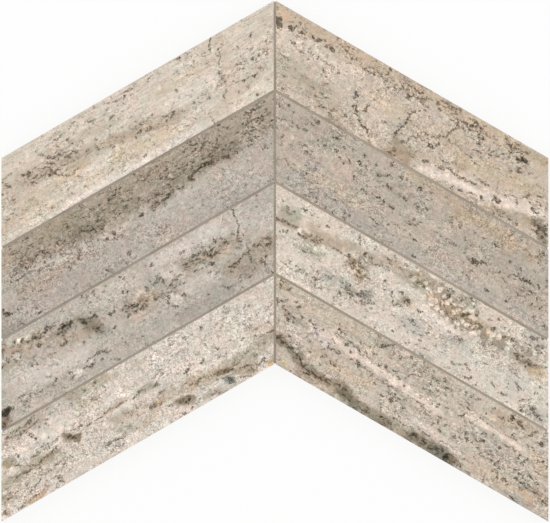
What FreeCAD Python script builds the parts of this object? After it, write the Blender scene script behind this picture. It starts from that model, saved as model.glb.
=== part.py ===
# Chevron wall tile: one sheet of parallelogram porcelain tiles set as nested arrows, with filled
# joints, held together by an open net on the back.
# The sheet lies face up. +X runs across it, +Y is the way the arrows point, +Z is out of the face.
# The origin is the middle of the sheet's outline, on the plane that the sheet lies on.

import FreeCAD
import Part
import Sketcher
import math
import os

# Driving dimensions, in millimetres and degrees: name, value, meaning
DRIVING_SIZES = [
    ("sheet_module", 304.8, "width of the sheet with one joint, the step to the next sheet"),
    ("row_pitch", 50.8, "step from one row of tiles to the next, along the centre joint"),
    ("row_count", 4, "rows of tiles"),
    ("chevron_angle", 30, "fall of the tiles' long edges away from the centre, in degrees"),
    ("joint_width", 1.2, "gap between two tiles, square to their edges"),
    ("tile_thickness", 9, "tile from its back to its face"),
    ("arris", 0.3, "bevel round a tile's face"),
    ("key_pitch", 10, "step between the grooves in a tile's back"),
    ("key_width", 5, "width of a groove in a tile's back"),
    ("key_depth", 0.6, "depth of a groove in a tile's back"),
    ("grout_recess", 0.5, "depth of the joint filler below the tiles' faces"),
    ("grout_setback", 0.5, "depth of the joint filler's ends inside the sheet's edge"),
    ("net_margin", 4, "bare rim of the tiles' backs round the net"),
    ("strand_pitch", 10, "step between the strands of the net"),
    ("strand_width", 1, "width of a strand"),
    ("strand_thickness", 0.4, "thickness of a strand, and of the net"),
]

# Sizes that follow from them, each from those above it: name, formula, meaning
LAYOUT_SIZES = [
    ("slope", "tan(Sizes.chevron_angle)", "fall of a slanting edge over its run"),
    ("steepness", "1 / cos(Sizes.chevron_angle)", "upright height of a slanting band over its width"),
    ("joint_rise", "Sizes.joint_width * Layout.steepness", "upright height of a slanting joint"),
    ("joint_lift", "Sizes.joint_width / 2 * Layout.slope", "fall of an edge over half the centre joint"),
    ("tile_run", "Sizes.sheet_module / 2 - Sizes.joint_width", "level length of a tile"),
    ("tile_rise", "Sizes.row_pitch - Layout.joint_rise", "length of a tile's upright ends"),
    ("tile_width", "Layout.tile_rise / Layout.steepness", "tile square to its long edges"),
    ("tile_start", "0", "foot of a tile's inner end in the tile's own frame"),
    ("rows_rise", "Sizes.row_count * Sizes.row_pitch - Layout.joint_rise", "all rows at the centre"),
    ("half_width", "(Sizes.sheet_module - Sizes.joint_width) / 2", "half of the sheet across"),
    ("sheet_height", "Layout.rows_rise + Layout.tile_run * Layout.slope", "sheet from apex to foot"),
    ("sheet_top", "Layout.sheet_height / 2", "height of the apex above the origin"),
    ("key_count", "floor(Layout.tile_width / Sizes.key_pitch)", "grooves in a tile's back"),
    ("key_rise", "Sizes.key_width * Layout.steepness", "upright height of a groove"),
    ("key_step", "Sizes.key_pitch * Layout.steepness", "upright step between the grooves"),
    (
        "key_start",
        "(Layout.tile_rise - (Layout.key_count - 1) * Layout.key_step - Layout.key_rise) / 2",
        "foot of the lowest groove above the tile's own foot",
    ),
    ("grout_depth", "Sizes.tile_thickness - Sizes.grout_recess", "joint filler from back to face"),
    ("centre_length", "Layout.rows_rise - 2 * Sizes.grout_setback", "filler of the centre joint"),
    ("centre_top", "Layout.sheet_top - Sizes.grout_setback", "upper end of the centre filler"),
    ("arrow_reach", "Layout.half_width - Sizes.grout_setback", "level length of an arrow's arm"),
    ("arrow_fall", "Layout.arrow_reach * Layout.slope", "drop of an arrow's arm"),
    (
        "arrow_peak",
        "Layout.sheet_top - Sizes.row_pitch + Layout.joint_rise + Layout.joint_lift",
        "tip of the uppermost arrow above the origin",
    ),
    ("net_rim", "Sizes.net_margin * Layout.steepness", "upright height of the bare rim"),
    ("net_run", "Layout.half_width - Sizes.net_margin", "level length of half of the net"),
    ("net_rise", "Layout.rows_rise - 2 * Layout.net_rim", "upright ends of half of the net"),
    ("net_drop", "Layout.net_run * Layout.slope", "fall of the net's slanting edges"),
    ("net_top", "Layout.sheet_top + Layout.joint_lift - Layout.net_rim", "apex of the net"),
]

SIDES = {"left": -1, "right": 1}

doc = FreeCAD.newDocument("ChevronWallTile")


def add_sizes():
    sheet = doc.addObject("Spreadsheet::Sheet", "Sizes")
    for line, (alias, value, meaning) in enumerate(DRIVING_SIZES, start=1):
        sheet.set(f"A{line}", meaning)
        sheet.set(f"B{line}", str(value))
        sheet.setAlias(f"B{line}", alias)
    doc.recompute()
    return sheet


def add_layout():
    variables = doc.addObject("App::VarSet", "Layout")
    for name, formula, meaning in LAYOUT_SIZES:
        variables.addProperty("App::PropertyFloat", name, "Layout", meaning)
        variables.setExpression(name, formula)
    doc.recompute()
    return variables


def new_sketch(body, name):
    planes = body.Origin.OriginFeatures
    sketch = body.newObject("Sketcher::SketchObject", name)
    sketch.AttachmentSupport = [(next(p for p in planes if p.Role == "XY_Plane"), "")]
    sketch.MapMode = "FlatFace"
    return sketch


def draw_outline(sketch, corners):
    # Lines from corner to corner, each joined to the next, back to the first
    points = [FreeCAD.Vector(x, y, 0) for x, y in corners]
    last = len(points) - 1
    for start, end in zip(points, points[1:] + points[:1]):
        sketch.addGeometry(Part.LineSegment(start, end), False)
    for line in range(last):
        sketch.addConstraint(Sketcher.Constraint("Coincident", line, 2, line + 1, 1))
    sketch.addConstraint(Sketcher.Constraint("Coincident", last, 2, 0, 1))


def bind(sketch, name, constraint, formula):
    index = sketch.addConstraint(constraint)
    sketch.renameConstraint(index, name)
    sketch.setExpression(f"Constraints.{name}", formula)


def draw_slanted_strip(sketch, side, rise, start):
    # A parallelogram as long as a tile, falling to the given side at the chevron angle: its inner
    # end stands on the Y axis, with its foot on the origin or above it
    run_mm = layout.tile_run
    drop_mm = run_mm * layout.slope
    rise_mm = getattr(layout, rise)
    start_mm = getattr(layout, start)
    draw_outline(
        sketch,
        [
            (0, start_mm),
            (0, start_mm + rise_mm),
            (side * run_mm, start_mm + rise_mm - drop_mm),
            (side * run_mm, start_mm - drop_mm),
        ],
    )
    sketch.addConstraint(Sketcher.Constraint("Vertical", 0))
    sketch.addConstraint(Sketcher.Constraint("Vertical", 2))
    sketch.addConstraint(Sketcher.Constraint("Parallel", 1, 3))
    inner, outer, origin = (0, 1), (2, 2), (-1, 1)
    near, far = (inner, outer) if side > 0 else (outer, inner)
    run = Sketcher.Constraint("DistanceX", *near, *far, run_mm)
    bind(sketch, "run", run, "Layout.tile_run")
    drop = Sketcher.Constraint("DistanceY", *outer, *inner, drop_mm)
    bind(sketch, "drop", drop, "Layout.tile_run * Layout.slope")
    bind(sketch, "rise", Sketcher.Constraint("DistanceY", 0, 1, 0, 2, rise_mm), f"Layout.{rise}")
    if start_mm == 0:
        sketch.addConstraint(Sketcher.Constraint("Coincident", *inner, *origin))
    else:
        sketch.addConstraint(Sketcher.Constraint("PointOnObject", *inner, -2))
        foot = Sketcher.Constraint("DistanceY", *origin, *inner, start_mm)
        bind(sketch, "start", foot, f"Layout.{start}")
    return sketch


def pad(body, name, sketch, length):
    feature = body.newObject("PartDesign::Pad", name)
    feature.Profile = sketch
    feature.setExpression("Length", length)
    doc.recompute()
    return feature


def top_face(feature):
    faces = feature.Shape.Faces
    highest = max(range(len(faces)), key=lambda i: faces[i].CenterOfMass.z)
    return f"Face{highest + 1}"


def add_tile(side_name, row):
    # One tile: a slab with a bevelled face and grooves along its back that key it to the adhesive
    side = SIDES[side_name]
    body = doc.addObject("PartDesign::Body", f"Tile{side_name.title()}{row}")
    body.Label = f"tile_{side_name}_{row}"

    outline = draw_slanted_strip(new_sketch(body, "Outline"), side, "tile_rise", "tile_start")
    slab = pad(body, "Slab", outline, "Sizes.tile_thickness")
    bevel = body.newObject("PartDesign::Chamfer", "Arris")
    bevel.Base = (slab, [top_face(slab)])
    bevel.setExpression("Size", "Sizes.arris")
    doc.recompute()

    key_outline = draw_slanted_strip(new_sketch(body, "KeyOutline"), side, "key_rise", "key_start")
    key = body.newObject("PartDesign::Pocket", "Key")
    key.Profile = key_outline
    key.setExpression("Length", "Sizes.key_depth")
    key.Reversed = True
    doc.recompute()
    keys = body.newObject("PartDesign::LinearPattern", "Keys")
    keys.Originals = [key]
    keys.Direction = (key_outline, ["V_Axis"])
    keys.setExpression("Length", "(Layout.key_count - 1) * Layout.key_step")
    keys.setExpression("Occurrences", "Layout.key_count")
    body.Tip = keys

    foot = f"Layout.sheet_top - {row} * Sizes.row_pitch + Layout.joint_rise"
    body.setExpression("Placement.Base.x", f"{side} * Sizes.joint_width / 2")
    body.setExpression("Placement.Base.y", foot)
    body.setExpression("Placement.Base.z", "Sizes.strand_thickness")
    return body


def draw_centre_joint(sketch):
    half_mm = layout.half_width - layout.tile_run
    top_mm = layout.centre_top
    foot_mm = top_mm - layout.centre_length
    draw_outline(
        sketch,
        [(-half_mm, foot_mm), (-half_mm, top_mm), (half_mm, top_mm), (half_mm, foot_mm)],
    )
    sketch.addConstraint(Sketcher.Constraint("Vertical", 0))
    sketch.addConstraint(Sketcher.Constraint("Symmetric", 1, 1, 1, 2, -2))
    sketch.addConstraint(Sketcher.Constraint("Symmetric", 0, 1, 2, 2, -2))
    width = Sketcher.Constraint("DistanceX", 1, 1, 1, 2, 2 * half_mm)
    bind(sketch, "width", width, "Sizes.joint_width")
    length = Sketcher.Constraint("DistanceY", 0, 1, 0, 2, layout.centre_length)
    bind(sketch, "length", length, "Layout.centre_length")
    top = Sketcher.Constraint("DistanceY", -1, 1, 0, 2, top_mm)
    bind(sketch, "top", top, "Layout.centre_top")
    return sketch


def draw_arrow_joint(sketch):
    reach_mm, peak_mm, rise_mm = layout.arrow_reach, layout.arrow_peak, layout.joint_rise
    end_mm = peak_mm - layout.arrow_fall
    draw_outline(
        sketch,
        [
            (0, peak_mm),
            (reach_mm, end_mm),
            (reach_mm, end_mm - rise_mm),
            (0, peak_mm - rise_mm),
            (-reach_mm, end_mm - rise_mm),
            (-reach_mm, end_mm),
        ],
    )
    sketch.addConstraint(Sketcher.Constraint("Vertical", 1))
    sketch.addConstraint(Sketcher.Constraint("Parallel", 0, 2))
    sketch.addConstraint(Sketcher.Constraint("PointOnObject", 0, 1, -2))
    sketch.addConstraint(Sketcher.Constraint("PointOnObject", 2, 2, -2))
    sketch.addConstraint(Sketcher.Constraint("Symmetric", 0, 2, 5, 1, -2))
    sketch.addConstraint(Sketcher.Constraint("Symmetric", 1, 2, 4, 1, -2))
    reach = Sketcher.Constraint("DistanceX", 0, 1, 0, 2, reach_mm)
    bind(sketch, "reach", reach, "Layout.arrow_reach")
    fall = Sketcher.Constraint("DistanceY", 0, 2, 0, 1, layout.arrow_fall)
    bind(sketch, "fall", fall, "Layout.arrow_fall")
    rise = Sketcher.Constraint("DistanceY", 1, 2, 1, 1, rise_mm)
    bind(sketch, "rise", rise, "Layout.joint_rise")
    peak = Sketcher.Constraint("DistanceY", -1, 1, 0, 1, peak_mm)
    bind(sketch, "peak", peak, "Layout.arrow_peak")
    return sketch


def add_grout():
    # The joint filler: a strip up the centre with an arrow-shaped strip between each two rows
    body = doc.addObject("PartDesign::Body", "Grout")
    body.Label = "joint_grout"
    centre = draw_centre_joint(new_sketch(body, "CentreOutline"))
    pad(body, "CentreStrip", centre, "Layout.grout_depth")
    arrow = draw_arrow_joint(new_sketch(body, "ArrowOutline"))
    strip = pad(body, "ArrowStrip", arrow, "Layout.grout_depth")
    rows = body.newObject("PartDesign::LinearPattern", "ArrowStrips")
    rows.Originals = [strip]
    rows.Direction = (arrow, ["V_Axis"])
    rows.Reversed = True
    rows.setExpression("Length", "(Sizes.row_count - 2) * Sizes.row_pitch")
    rows.setExpression("Occurrences", "Sizes.row_count - 1")
    body.Tip = rows
    body.setExpression("Placement.Base.z", "Sizes.strand_thickness")
    return body


def middles(reach):
    # Middles of the strands on one side of the origin, half a pitch out and then a pitch apart
    count = math.floor((reach - sizes.strand_width / 2) / sizes.strand_pitch + 0.5)
    return [(number + 0.5) * sizes.strand_pitch for number in range(count)]


def strand(x, y, length_x, length_y):
    return Part.makePlane(length_x, length_y, FreeCAD.Vector(x, y, 0))


def crosses_an_upright(height):
    # True if a cross strand at this height passes right over an upright inside the net's outline
    half = sizes.strand_width / 2
    farthest = (layout.net_top - height - half) / layout.slope
    nearest = (layout.net_top - layout.net_rise - height + half) / layout.slope
    return any(nearest < place - half and place + half < farthest for place in middles(layout.net_run))


def net_outline(side):
    outer, drop = side * layout.net_run, layout.net_drop
    foot = layout.net_top - layout.net_rise
    corners = [(0, foot), (0, layout.net_top), (outer, layout.net_top - drop), (outer, foot - drop)]
    points = [FreeCAD.Vector(x, y, 0) for x, y in corners + corners[:1]]
    return Part.Face(Part.makePolygon(points))


def add_net(side_name):
    # One half of the backing net. Its many crossings are worked out in the flat: upright and cross
    # strands become one face, which is cut to the net's outline and then given its thickness.
    side = SIDES[side_name]
    half = sizes.strand_width / 2
    inner_end = min(0, side * layout.net_run)
    uprights = [
        strand(side * place - half, -layout.sheet_top, sizes.strand_width, layout.sheet_height)
        for place in middles(layout.net_run)
    ]
    heights = [way * place for way in (-1, 1) for place in middles(layout.sheet_top)]
    crosses = [
        strand(inner_end, height - half, layout.net_run, sizes.strand_width)
        for height in heights
        if crosses_an_upright(height)
    ]
    weave = uprights[0].multiFuse(uprights[1:] + crosses).removeSplitter()
    trimmed = weave.common(net_outline(side))
    net = doc.addObject("Part::Feature", f"Net{side_name.title()}")
    net.Label = f"backing_net_{side_name}"
    net.Shape = trimmed.extrude(FreeCAD.Vector(0, 0, sizes.strand_thickness))
    return net


def check(pieces):
    for thing in doc.Objects:
        if "Invalid" in thing.State or "Error" in thing.State:
            raise RuntimeError(f"{thing.Label} failed to build: {thing.State}")
    for piece in pieces:
        shape = piece.Shape
        if shape.isNull() or not shape.isValid() or len(shape.Solids) != 1:
            raise RuntimeError(f"{piece.Label} is not one valid solid")


sizes = add_sizes()
layout = add_layout()
rows = range(1, int(sizes.row_count) + 1)
pieces = [add_tile(side_name, row) for side_name in SIDES for row in rows]
pieces.append(add_grout())
pieces += [add_net(side_name) for side_name in SIDES]
doc.recompute()
check(pieces)

os.makedirs("parts", exist_ok=True)
for piece in pieces:
    piece.Shape.exportStep(f"parts/{piece.Label}.step")
    box = piece.Shape.BoundBox
    print(
        f"{piece.Label}: {box.XLength:.2f} x {box.YLength:.2f} x {box.ZLength:.2f} mm,"
        f" {piece.Shape.Volume / 1000:.2f} cm3"
    )
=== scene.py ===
import math
import bmesh
import bpy
import numpy as np
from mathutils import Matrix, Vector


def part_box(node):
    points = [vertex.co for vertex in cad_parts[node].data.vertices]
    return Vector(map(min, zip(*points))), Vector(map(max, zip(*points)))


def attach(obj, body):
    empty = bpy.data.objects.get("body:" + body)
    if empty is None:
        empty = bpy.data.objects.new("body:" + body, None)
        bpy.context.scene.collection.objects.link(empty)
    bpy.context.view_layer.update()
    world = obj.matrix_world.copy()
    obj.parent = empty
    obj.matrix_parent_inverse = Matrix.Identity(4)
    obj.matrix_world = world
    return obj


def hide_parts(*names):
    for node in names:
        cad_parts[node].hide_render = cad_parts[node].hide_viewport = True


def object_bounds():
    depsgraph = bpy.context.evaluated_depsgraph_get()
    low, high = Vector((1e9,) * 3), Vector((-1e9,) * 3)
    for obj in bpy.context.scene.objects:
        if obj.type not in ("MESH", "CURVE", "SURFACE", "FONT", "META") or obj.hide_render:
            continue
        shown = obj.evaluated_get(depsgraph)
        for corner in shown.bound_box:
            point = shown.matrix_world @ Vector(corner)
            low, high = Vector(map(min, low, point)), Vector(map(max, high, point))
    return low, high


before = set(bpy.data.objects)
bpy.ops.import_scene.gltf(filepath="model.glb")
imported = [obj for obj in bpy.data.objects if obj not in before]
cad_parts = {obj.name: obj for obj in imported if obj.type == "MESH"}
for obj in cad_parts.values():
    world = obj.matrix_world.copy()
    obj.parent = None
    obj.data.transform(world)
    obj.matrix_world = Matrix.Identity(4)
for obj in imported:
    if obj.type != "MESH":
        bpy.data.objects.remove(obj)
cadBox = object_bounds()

mm = 0.001
touching = 0.01 * mm  # points closer than this count as level
print("frame loaded:", len(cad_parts), "nodes")


# Colours are written as they look on screen, 0 to 255, and a stain over 255 brightens
def linear(colour):
    share = np.array(colour, float) / 255
    return np.where(share <= 0.04045, share / 12.92, ((share + 0.055) / 1.055) ** 2.4)


def rgba(colour):
    return (*linear(colour), 1.0)


# Node helpers: a value is a number, a colour or another node's socket
def feed(tree, socket, value):
    if isinstance(value, bpy.types.NodeSocket):
        tree.links.new(value, socket)
    else:
        socket.default_value = value


def addNode(tree, kind, inputs=None, **settings):
    made = tree.nodes.new(kind)
    for name, value in settings.items():
        setattr(made, name, value)
    for key, value in (inputs or {}).items():
        feed(tree, made.inputs[key], value)
    return made


def sums(tree, operation, *values):
    return addNode(tree, "ShaderNodeMath", dict(enumerate(values)), operation=operation).outputs[0]


def times(tree, value, factor):
    return sums(tree, "MULTIPLY", value, factor)


def aroundZero(tree, texture, factor):
    return times(tree, sums(tree, "SUBTRACT", texture, 0.5), factor)


def ramp(tree, value, low, high, toLow=0.0, toHigh=1.0, soft=True):
    inputs = {"Value": value, "From Min": low, "From Max": high, "To Min": toLow, "To Max": toHigh}
    kind = "SMOOTHSTEP" if soft else "LINEAR"
    return addNode(tree, "ShaderNodeMapRange", inputs, interpolation_type=kind).outputs[0]


def mixColour(tree, blend, factor, under, over):
    made = addNode(tree, "ShaderNodeMix", data_type="RGBA", blend_type=blend)
    for socket, value in ((0, factor), (6, under), (7, over)):
        feed(tree, made.inputs[socket], value)
    return made.outputs[2]


def stain(tree, share, colour, shade):
    return mixColour(tree, "MULTIPLY", share, colour, rgba(shade))


def cover(tree, share, colour, shade):
    return mixColour(tree, "MIX", share, colour, rgba(shade))


def noise(tree, place, scale, detail=2.0, roughness=0.5, distortion=0.0):
    inputs = {"Vector": place, "Scale": scale, "Detail": detail}
    inputs.update({"Roughness": roughness, "Distortion": distortion})
    return addNode(tree, "ShaderNodeTexNoise", inputs).outputs[0]


def cells(tree, place, scale, feature):
    inputs = {"Vector": place, "Scale": scale}
    return addNode(tree, "ShaderNodeTexVoronoi", inputs, feature=feature).outputs["Distance"]


def stretched(tree, place, scale):
    return addNode(tree, "ShaderNodeMapping", {"Vector": place, "Scale": scale}).outputs[0]


def attribute(tree, name, output):
    return addNode(tree, "ShaderNodeAttribute", attribute_name=name).outputs[output]


def newMaterial(name, surfaceKind="ShaderNodeBsdfPrincipled"):
    material = bpy.data.materials.new(name)
    material.use_nodes = True
    tree = material.node_tree
    tree.nodes.clear()
    surface = addNode(tree, surfaceKind)
    output = addNode(tree, "ShaderNodeOutputMaterial")
    tree.links.new(surface.outputs[0], output.inputs["Surface"])
    return material, tree, surface


# A look's bump is its strength and depth
def finishSurface(tree, surface, colour, roughness, height, look):
    strength, depth = look["bump"]
    bump = addNode(tree, "ShaderNodeBump", {"Height": height, "Strength": strength, "Distance": depth})
    inputs = {"Base Color": colour, "Roughness": roughness, "Normal": bump.outputs[0]}
    inputs["Specular IOR Level"] = look["specular"]
    for key, value in inputs.items():
        feed(tree, surface.inputs[key], value)


# Mesh helpers
def nodePoints(node):
    return np.array([v.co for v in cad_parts[node].data.vertices])


def atX(points, x):
    return points[np.abs(points[:, 0] - x) < touching]


def closedMesh(name, points, faces):
    mesh = bpy.data.meshes.new(name)
    mesh.from_pydata(points, [], faces)
    work = bmesh.new()
    work.from_mesh(mesh)
    bmesh.ops.recalc_face_normals(work, faces=work.faces)
    work.to_mesh(mesh)
    work.free()
    return mesh


def paint(mesh, name, kind, field, values):
    mesh.attributes.new(name, kind, "POINT").data.foreach_set(field, np.ravel(values))


def addPiece(mesh, sharpDegrees, nodes):
    mesh.shade_smooth()
    mesh.set_sharp_from_angle(angle=math.radians(sharpDegrees))
    piece = bpy.data.objects.new(mesh.name, mesh)
    bpy.context.scene.collection.objects.link(piece)
    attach(piece, "root")
    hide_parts(*nodes)
    print("piece made:", mesh.name, len(mesh.polygons), "faces")


# Printed and glazed travertine figure: what differs from tile to tile is painted on its points
stoneLayers = ("grain", "bedding", "pale", "cell", "web", "worm", "moss", "mark", "light")
# Sizes in millimetres, two where they differ along and across, then strengths, then colours
stoneLook = {
    "mottleSize": 7, "bedSize": (16, 1.6), "grainSize": 2.6, "fineSize": (0.85, 0.75),
    "fleckSize": (2.8, 1.5), "clumpSize": 13, "bendSize": 2.2, "bend": (3.0, 3.0, 0), "cellSize": 3.6,
    "crackSize": 4.4, "wormSize": 3.0,
    "coarseGrain": 1.4, "fineGrain": 1.95, "ragged": 0.5, "brightness": 1.1, "specular": 0.2,
    "bump": (0.35, 0.05 * mm),
    "cool": (249, 251, 250), "pink": (254, 248, 247), "cell": (284, 282, 279), "rim": (168, 156, 138),
    "crack": (150, 140, 128), "worm": (170, 162, 148), "pale": (236, 227, 218), "fleck": (158, 152, 142),
    "core": (160, 157, 150), "fine": (188, 182, 172), "light": (294, 291, 288), "mark": (132, 127, 117),
}


# The noise patterns of the stone
def stonePatterns(tree, place):
    look = stoneLook

    def oblong(along, across):
        return stretched(tree, place, (1 / along, 1 / across, 1))

    return {
        "mottle": noise(tree, place, 1 / look["mottleSize"]),
        "beds": noise(tree, oblong(*look["bedSize"]), 1.0, 3.0, 0.6, 0.6),
        "grains": noise(tree, place, 1 / look["grainSize"], 3.0, 0.7, 0.9),
        "fines": noise(tree, oblong(*look["fineSize"]), 1.0, 1.0, 0.6, 0.4),
        "flecks": noise(tree, oblong(*look["fleckSize"]), 1.0, 3.0, 0.65, 0.5),
        "clumps": noise(tree, place, 1 / look["clumpSize"]),
        "worms": noise(tree, place, 1 / look["wormSize"], 1.0, 0.5, 0.8),
    }


# Pink and cool mottling, bedding lines and grain
def stoneGround(tree, stone, layer, pattern):
    look = stoneLook
    tint = cover(tree, ramp(tree, pattern["mottle"], 0.35, 0.65), rgba(look["cool"]), look["pink"])
    colour = mixColour(tree, "MULTIPLY", 1.0, stone, tint)
    coarse = aroundZero(tree, pattern["grains"], look["coarseGrain"])
    small = aroundZero(tree, pattern["fines"], look["fineGrain"])
    patchy = times(tree, layer["grain"], ramp(tree, pattern["clumps"], 0.35, 0.65, 0.6, 1.3))
    speckle = times(tree, sums(tree, "ADD", coarse, small), patchy)
    shade = sums(tree, "ADD", aroundZero(tree, pattern["beds"], layer["bedding"]), speckle)
    shade = sums(tree, "ADD", shade, look["brightness"])
    return mixColour(tree, "MULTIPLY", 1.0, colour, shade)


# Rounded cells with brown rims, a broken net of cracks, and worm-like lines
def cellsAndCracks(tree, colour, place, layer, pattern):
    look = stoneLook
    warp = {"Vector": place, "Scale": 1 / look["bendSize"], "Detail": 2.0}
    bend = {0: addNode(tree, "ShaderNodeTexNoise", warp).outputs["Color"], 1: look["bend"], 2: place}
    bent = addNode(tree, "ShaderNodeVectorMath", bend, operation="MULTIPLY_ADD").outputs[0]
    reach = cells(tree, bent, 1 / look["cellSize"], "F1")
    amount = ramp(tree, layer["cell"], 0.05, 0.8)
    inside = times(tree, ramp(tree, reach, 0.48, 0.28), amount)
    colour = stain(tree, times(tree, inside, 0.9), colour, look["cell"])
    outline = times(tree, ramp(tree, reach, 0.4, 0.58), amount)
    colour = stain(tree, times(tree, outline, 0.65), colour, look["rim"])
    gap = cells(tree, bent, 1 / look["crackSize"], "DISTANCE_TO_EDGE")
    broken = times(tree, ramp(tree, gap, 0.13, 0.03), ramp(tree, pattern["flecks"], 0.42, 0.58))
    colour = stain(tree, times(tree, broken, layer["web"]), colour, look["crack"])
    ridge = sums(tree, "ABSOLUTE", sums(tree, "SUBTRACT", pattern["worms"], 0.5))
    trail = ramp(tree, ridge, 0.06, 0.015)
    return stain(tree, times(tree, trail, layer["worm"]), colour, look["worm"])


# Pale grains, then soft dark flecks that close up where the figure is mossy
def grainsAndFlecks(tree, colour, layer, pattern):
    look = stoneLook
    paleMask = ramp(tree, sums(tree, "SUBTRACT", layer["pale"], pattern["fines"]), -0.42, -0.22)
    colour = cover(tree, times(tree, paleMask, 0.55), colour, look["pale"])
    drift = ramp(tree, pattern["clumps"], 0.3, 0.7, -0.1, 0.1, False)
    spread = sums(tree, "MULTIPLY_ADD", pattern["flecks"], 1.7, -0.4)
    level = sums(tree, "ADD", sums(tree, "MULTIPLY_ADD", layer["moss"], 0.75, spread), drift)
    fleck = ramp(tree, level, 0.6, 0.88)
    colour = stain(tree, fleck, colour, look["fleck"])
    colour = stain(tree, ramp(tree, level, 0.86, 1.15), colour, look["core"])
    fine = ramp(tree, sums(tree, "MULTIPLY_ADD", layer["moss"], 0.25, pattern["fines"]), 0.6, 0.78)
    return stain(tree, times(tree, fine, 0.6), colour, look["fine"]), fleck


# Single pale grains, dark specks and hairlines, with ragged edges
def specksAndHairlines(tree, colour, layer, pattern):
    look = stoneLook
    rough = sums(tree, "ADD", aroundZero(tree, pattern["fines"], look["ragged"]), 1.0)
    colour = stain(tree, times(tree, layer["light"], rough), colour, look["light"])
    torn = times(tree, layer["mark"], ramp(tree, pattern["fines"], 0.3, 0.7, 1.75, 0.35, False))
    mark = ramp(tree, torn, 0.05, 0.95)
    return stain(tree, mark, colour, look["mark"]), mark


def stoneFace():
    material, tree, surface = newMaterial("stone_face")
    place = attribute(tree, "place", "Vector")
    layer = {name: attribute(tree, name, "Fac") for name in stoneLayers}
    pattern = stonePatterns(tree, place)
    colour = stoneGround(tree, attribute(tree, "stone", "Color"), layer, pattern)
    colour = cellsAndCracks(tree, colour, place, layer, pattern)
    colour, fleck = grainsAndFlecks(tree, colour, layer, pattern)
    colour, mark = specksAndHairlines(tree, colour, layer, pattern)
    roughness = ramp(tree, pattern["grains"], 0.3, 0.7, 0.5, 0.66, False)
    dark = times(tree, sums(tree, "ADD", fleck, mark), 0.8)
    height = sums(tree, "SUBTRACT", pattern["grains"], dark)
    finishSurface(tree, surface, colour, roughness, height, stoneLook)
    return material


# Pressed body that shows on the sides and back
bodyLook = {"clay": (186, 172, 152), "paleClay": (204, 191, 173), "grit": (200, 194, 184), "specular": 0.2,
            "cloudScale": 90.0, "gritScale": 1500.0, "bump": (0.4, 0.08 * mm)}


def pressedBody():
    material, tree, surface = newMaterial("pressed_body")
    place = addNode(tree, "ShaderNodeTexCoord").outputs["Object"]
    clouds = noise(tree, place, bodyLook["cloudScale"], 3.0, 0.6)
    grit = noise(tree, place, bodyLook["gritScale"], 2.0, 0.6)
    colour = cover(tree, ramp(tree, clouds, 0.3, 0.7), rgba(bodyLook["clay"]), bodyLook["paleClay"])
    colour = stain(tree, ramp(tree, grit, 0.58, 0.7, 0.0, 0.8), colour, bodyLook["grit"])
    roughness = ramp(tree, grit, 0.3, 0.7, 0.72, 0.9, False)
    finishSurface(tree, surface, colour, roughness, grit, bodyLook)
    return material


faceMaterial = stoneFace()
bodyMaterial = pressedBody()
print("tile materials made")


def eased(share):
    return share * share * (3 - 2 * share)


# Smooth random field between -1 and 1, with grains of the given length and width in millimetres
def cloud(s, t, length, width, seed):
    size, start = 64, 100
    lattice = np.random.default_rng(seed).uniform(-1, 1, (size, size))
    u, v = s / length + start, t / width + start
    i, j = np.floor(u).astype(int), np.floor(v).astype(int)
    fu, fv = eased(u - i), eased(v - j)
    a, b = lattice[i % size, j % size], lattice[(i + 1) % size, j % size]
    c, d = lattice[i % size, (j + 1) % size], lattice[(i + 1) % size, (j + 1) % size]
    return (a * (1 - fu) + b * fu) * (1 - fv) + (c * (1 - fu) + d * fu) * fv


# 1 along a line of points, falling to 0 at the given width to either side
def stroke(s, t, width, points):
    points = list(points) * 2 if len(points) == 1 else points
    distance = np.full(s.shape, np.inf)
    for (s0, t0), (s1, t1) in zip(points[:-1], points[1:]):
        ds, dt = s1 - s0, t1 - t0
        along = ((s - s0) * ds + (t - t0) * dt) / max(ds * ds + dt * dt, 1e-9)
        along = np.clip(along, 0, 1)
        distance = np.minimum(distance, np.hypot(s - s0 - along * ds, t - t0 - along * dt))
    return np.clip(1 - distance / width, 0, 1)


# Strength and number of the faint specks between the drawn ones, and the millimetres that they cover.
# Specks lean, and soft strokes reach past their drawn width.
strokeLook = {"mark": (0.36, 170), "light": (0.38, 70), "area": ((-25, 0), (200, 43)), "width": 0.8,
              "strengths": (0.7, 1.2), "lean": (0.8, 0.5), "spread": 1.25}


# Specks, pale grains, hairlines and streaks as layer, strength, width and points, with the scatter last
def singleMarks(figure, draws):
    singles = []
    for layer, key in (("mark", "specks"), ("light", "grains")):
        for strength, width, *spots in figure[key]:
            singles += [(layer, strength, width, [spot]) for spot in spots]
    for layer, key in (("mark", "lines"), ("light", "streaks")):
        for strength, width, *paths in figure[key]:
            singles += [(layer, strength, width, path) for path in paths]
    for layer in ("mark", "light"):
        most, count = strokeLook[layer]
        for spot in draws.uniform(*strokeLook["area"], (count, 2)):
            strength = most * draws.uniform(*strokeLook["strengths"])
            singles.append((layer, strength, strokeLook["width"], [spot]))
    return singles


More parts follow.
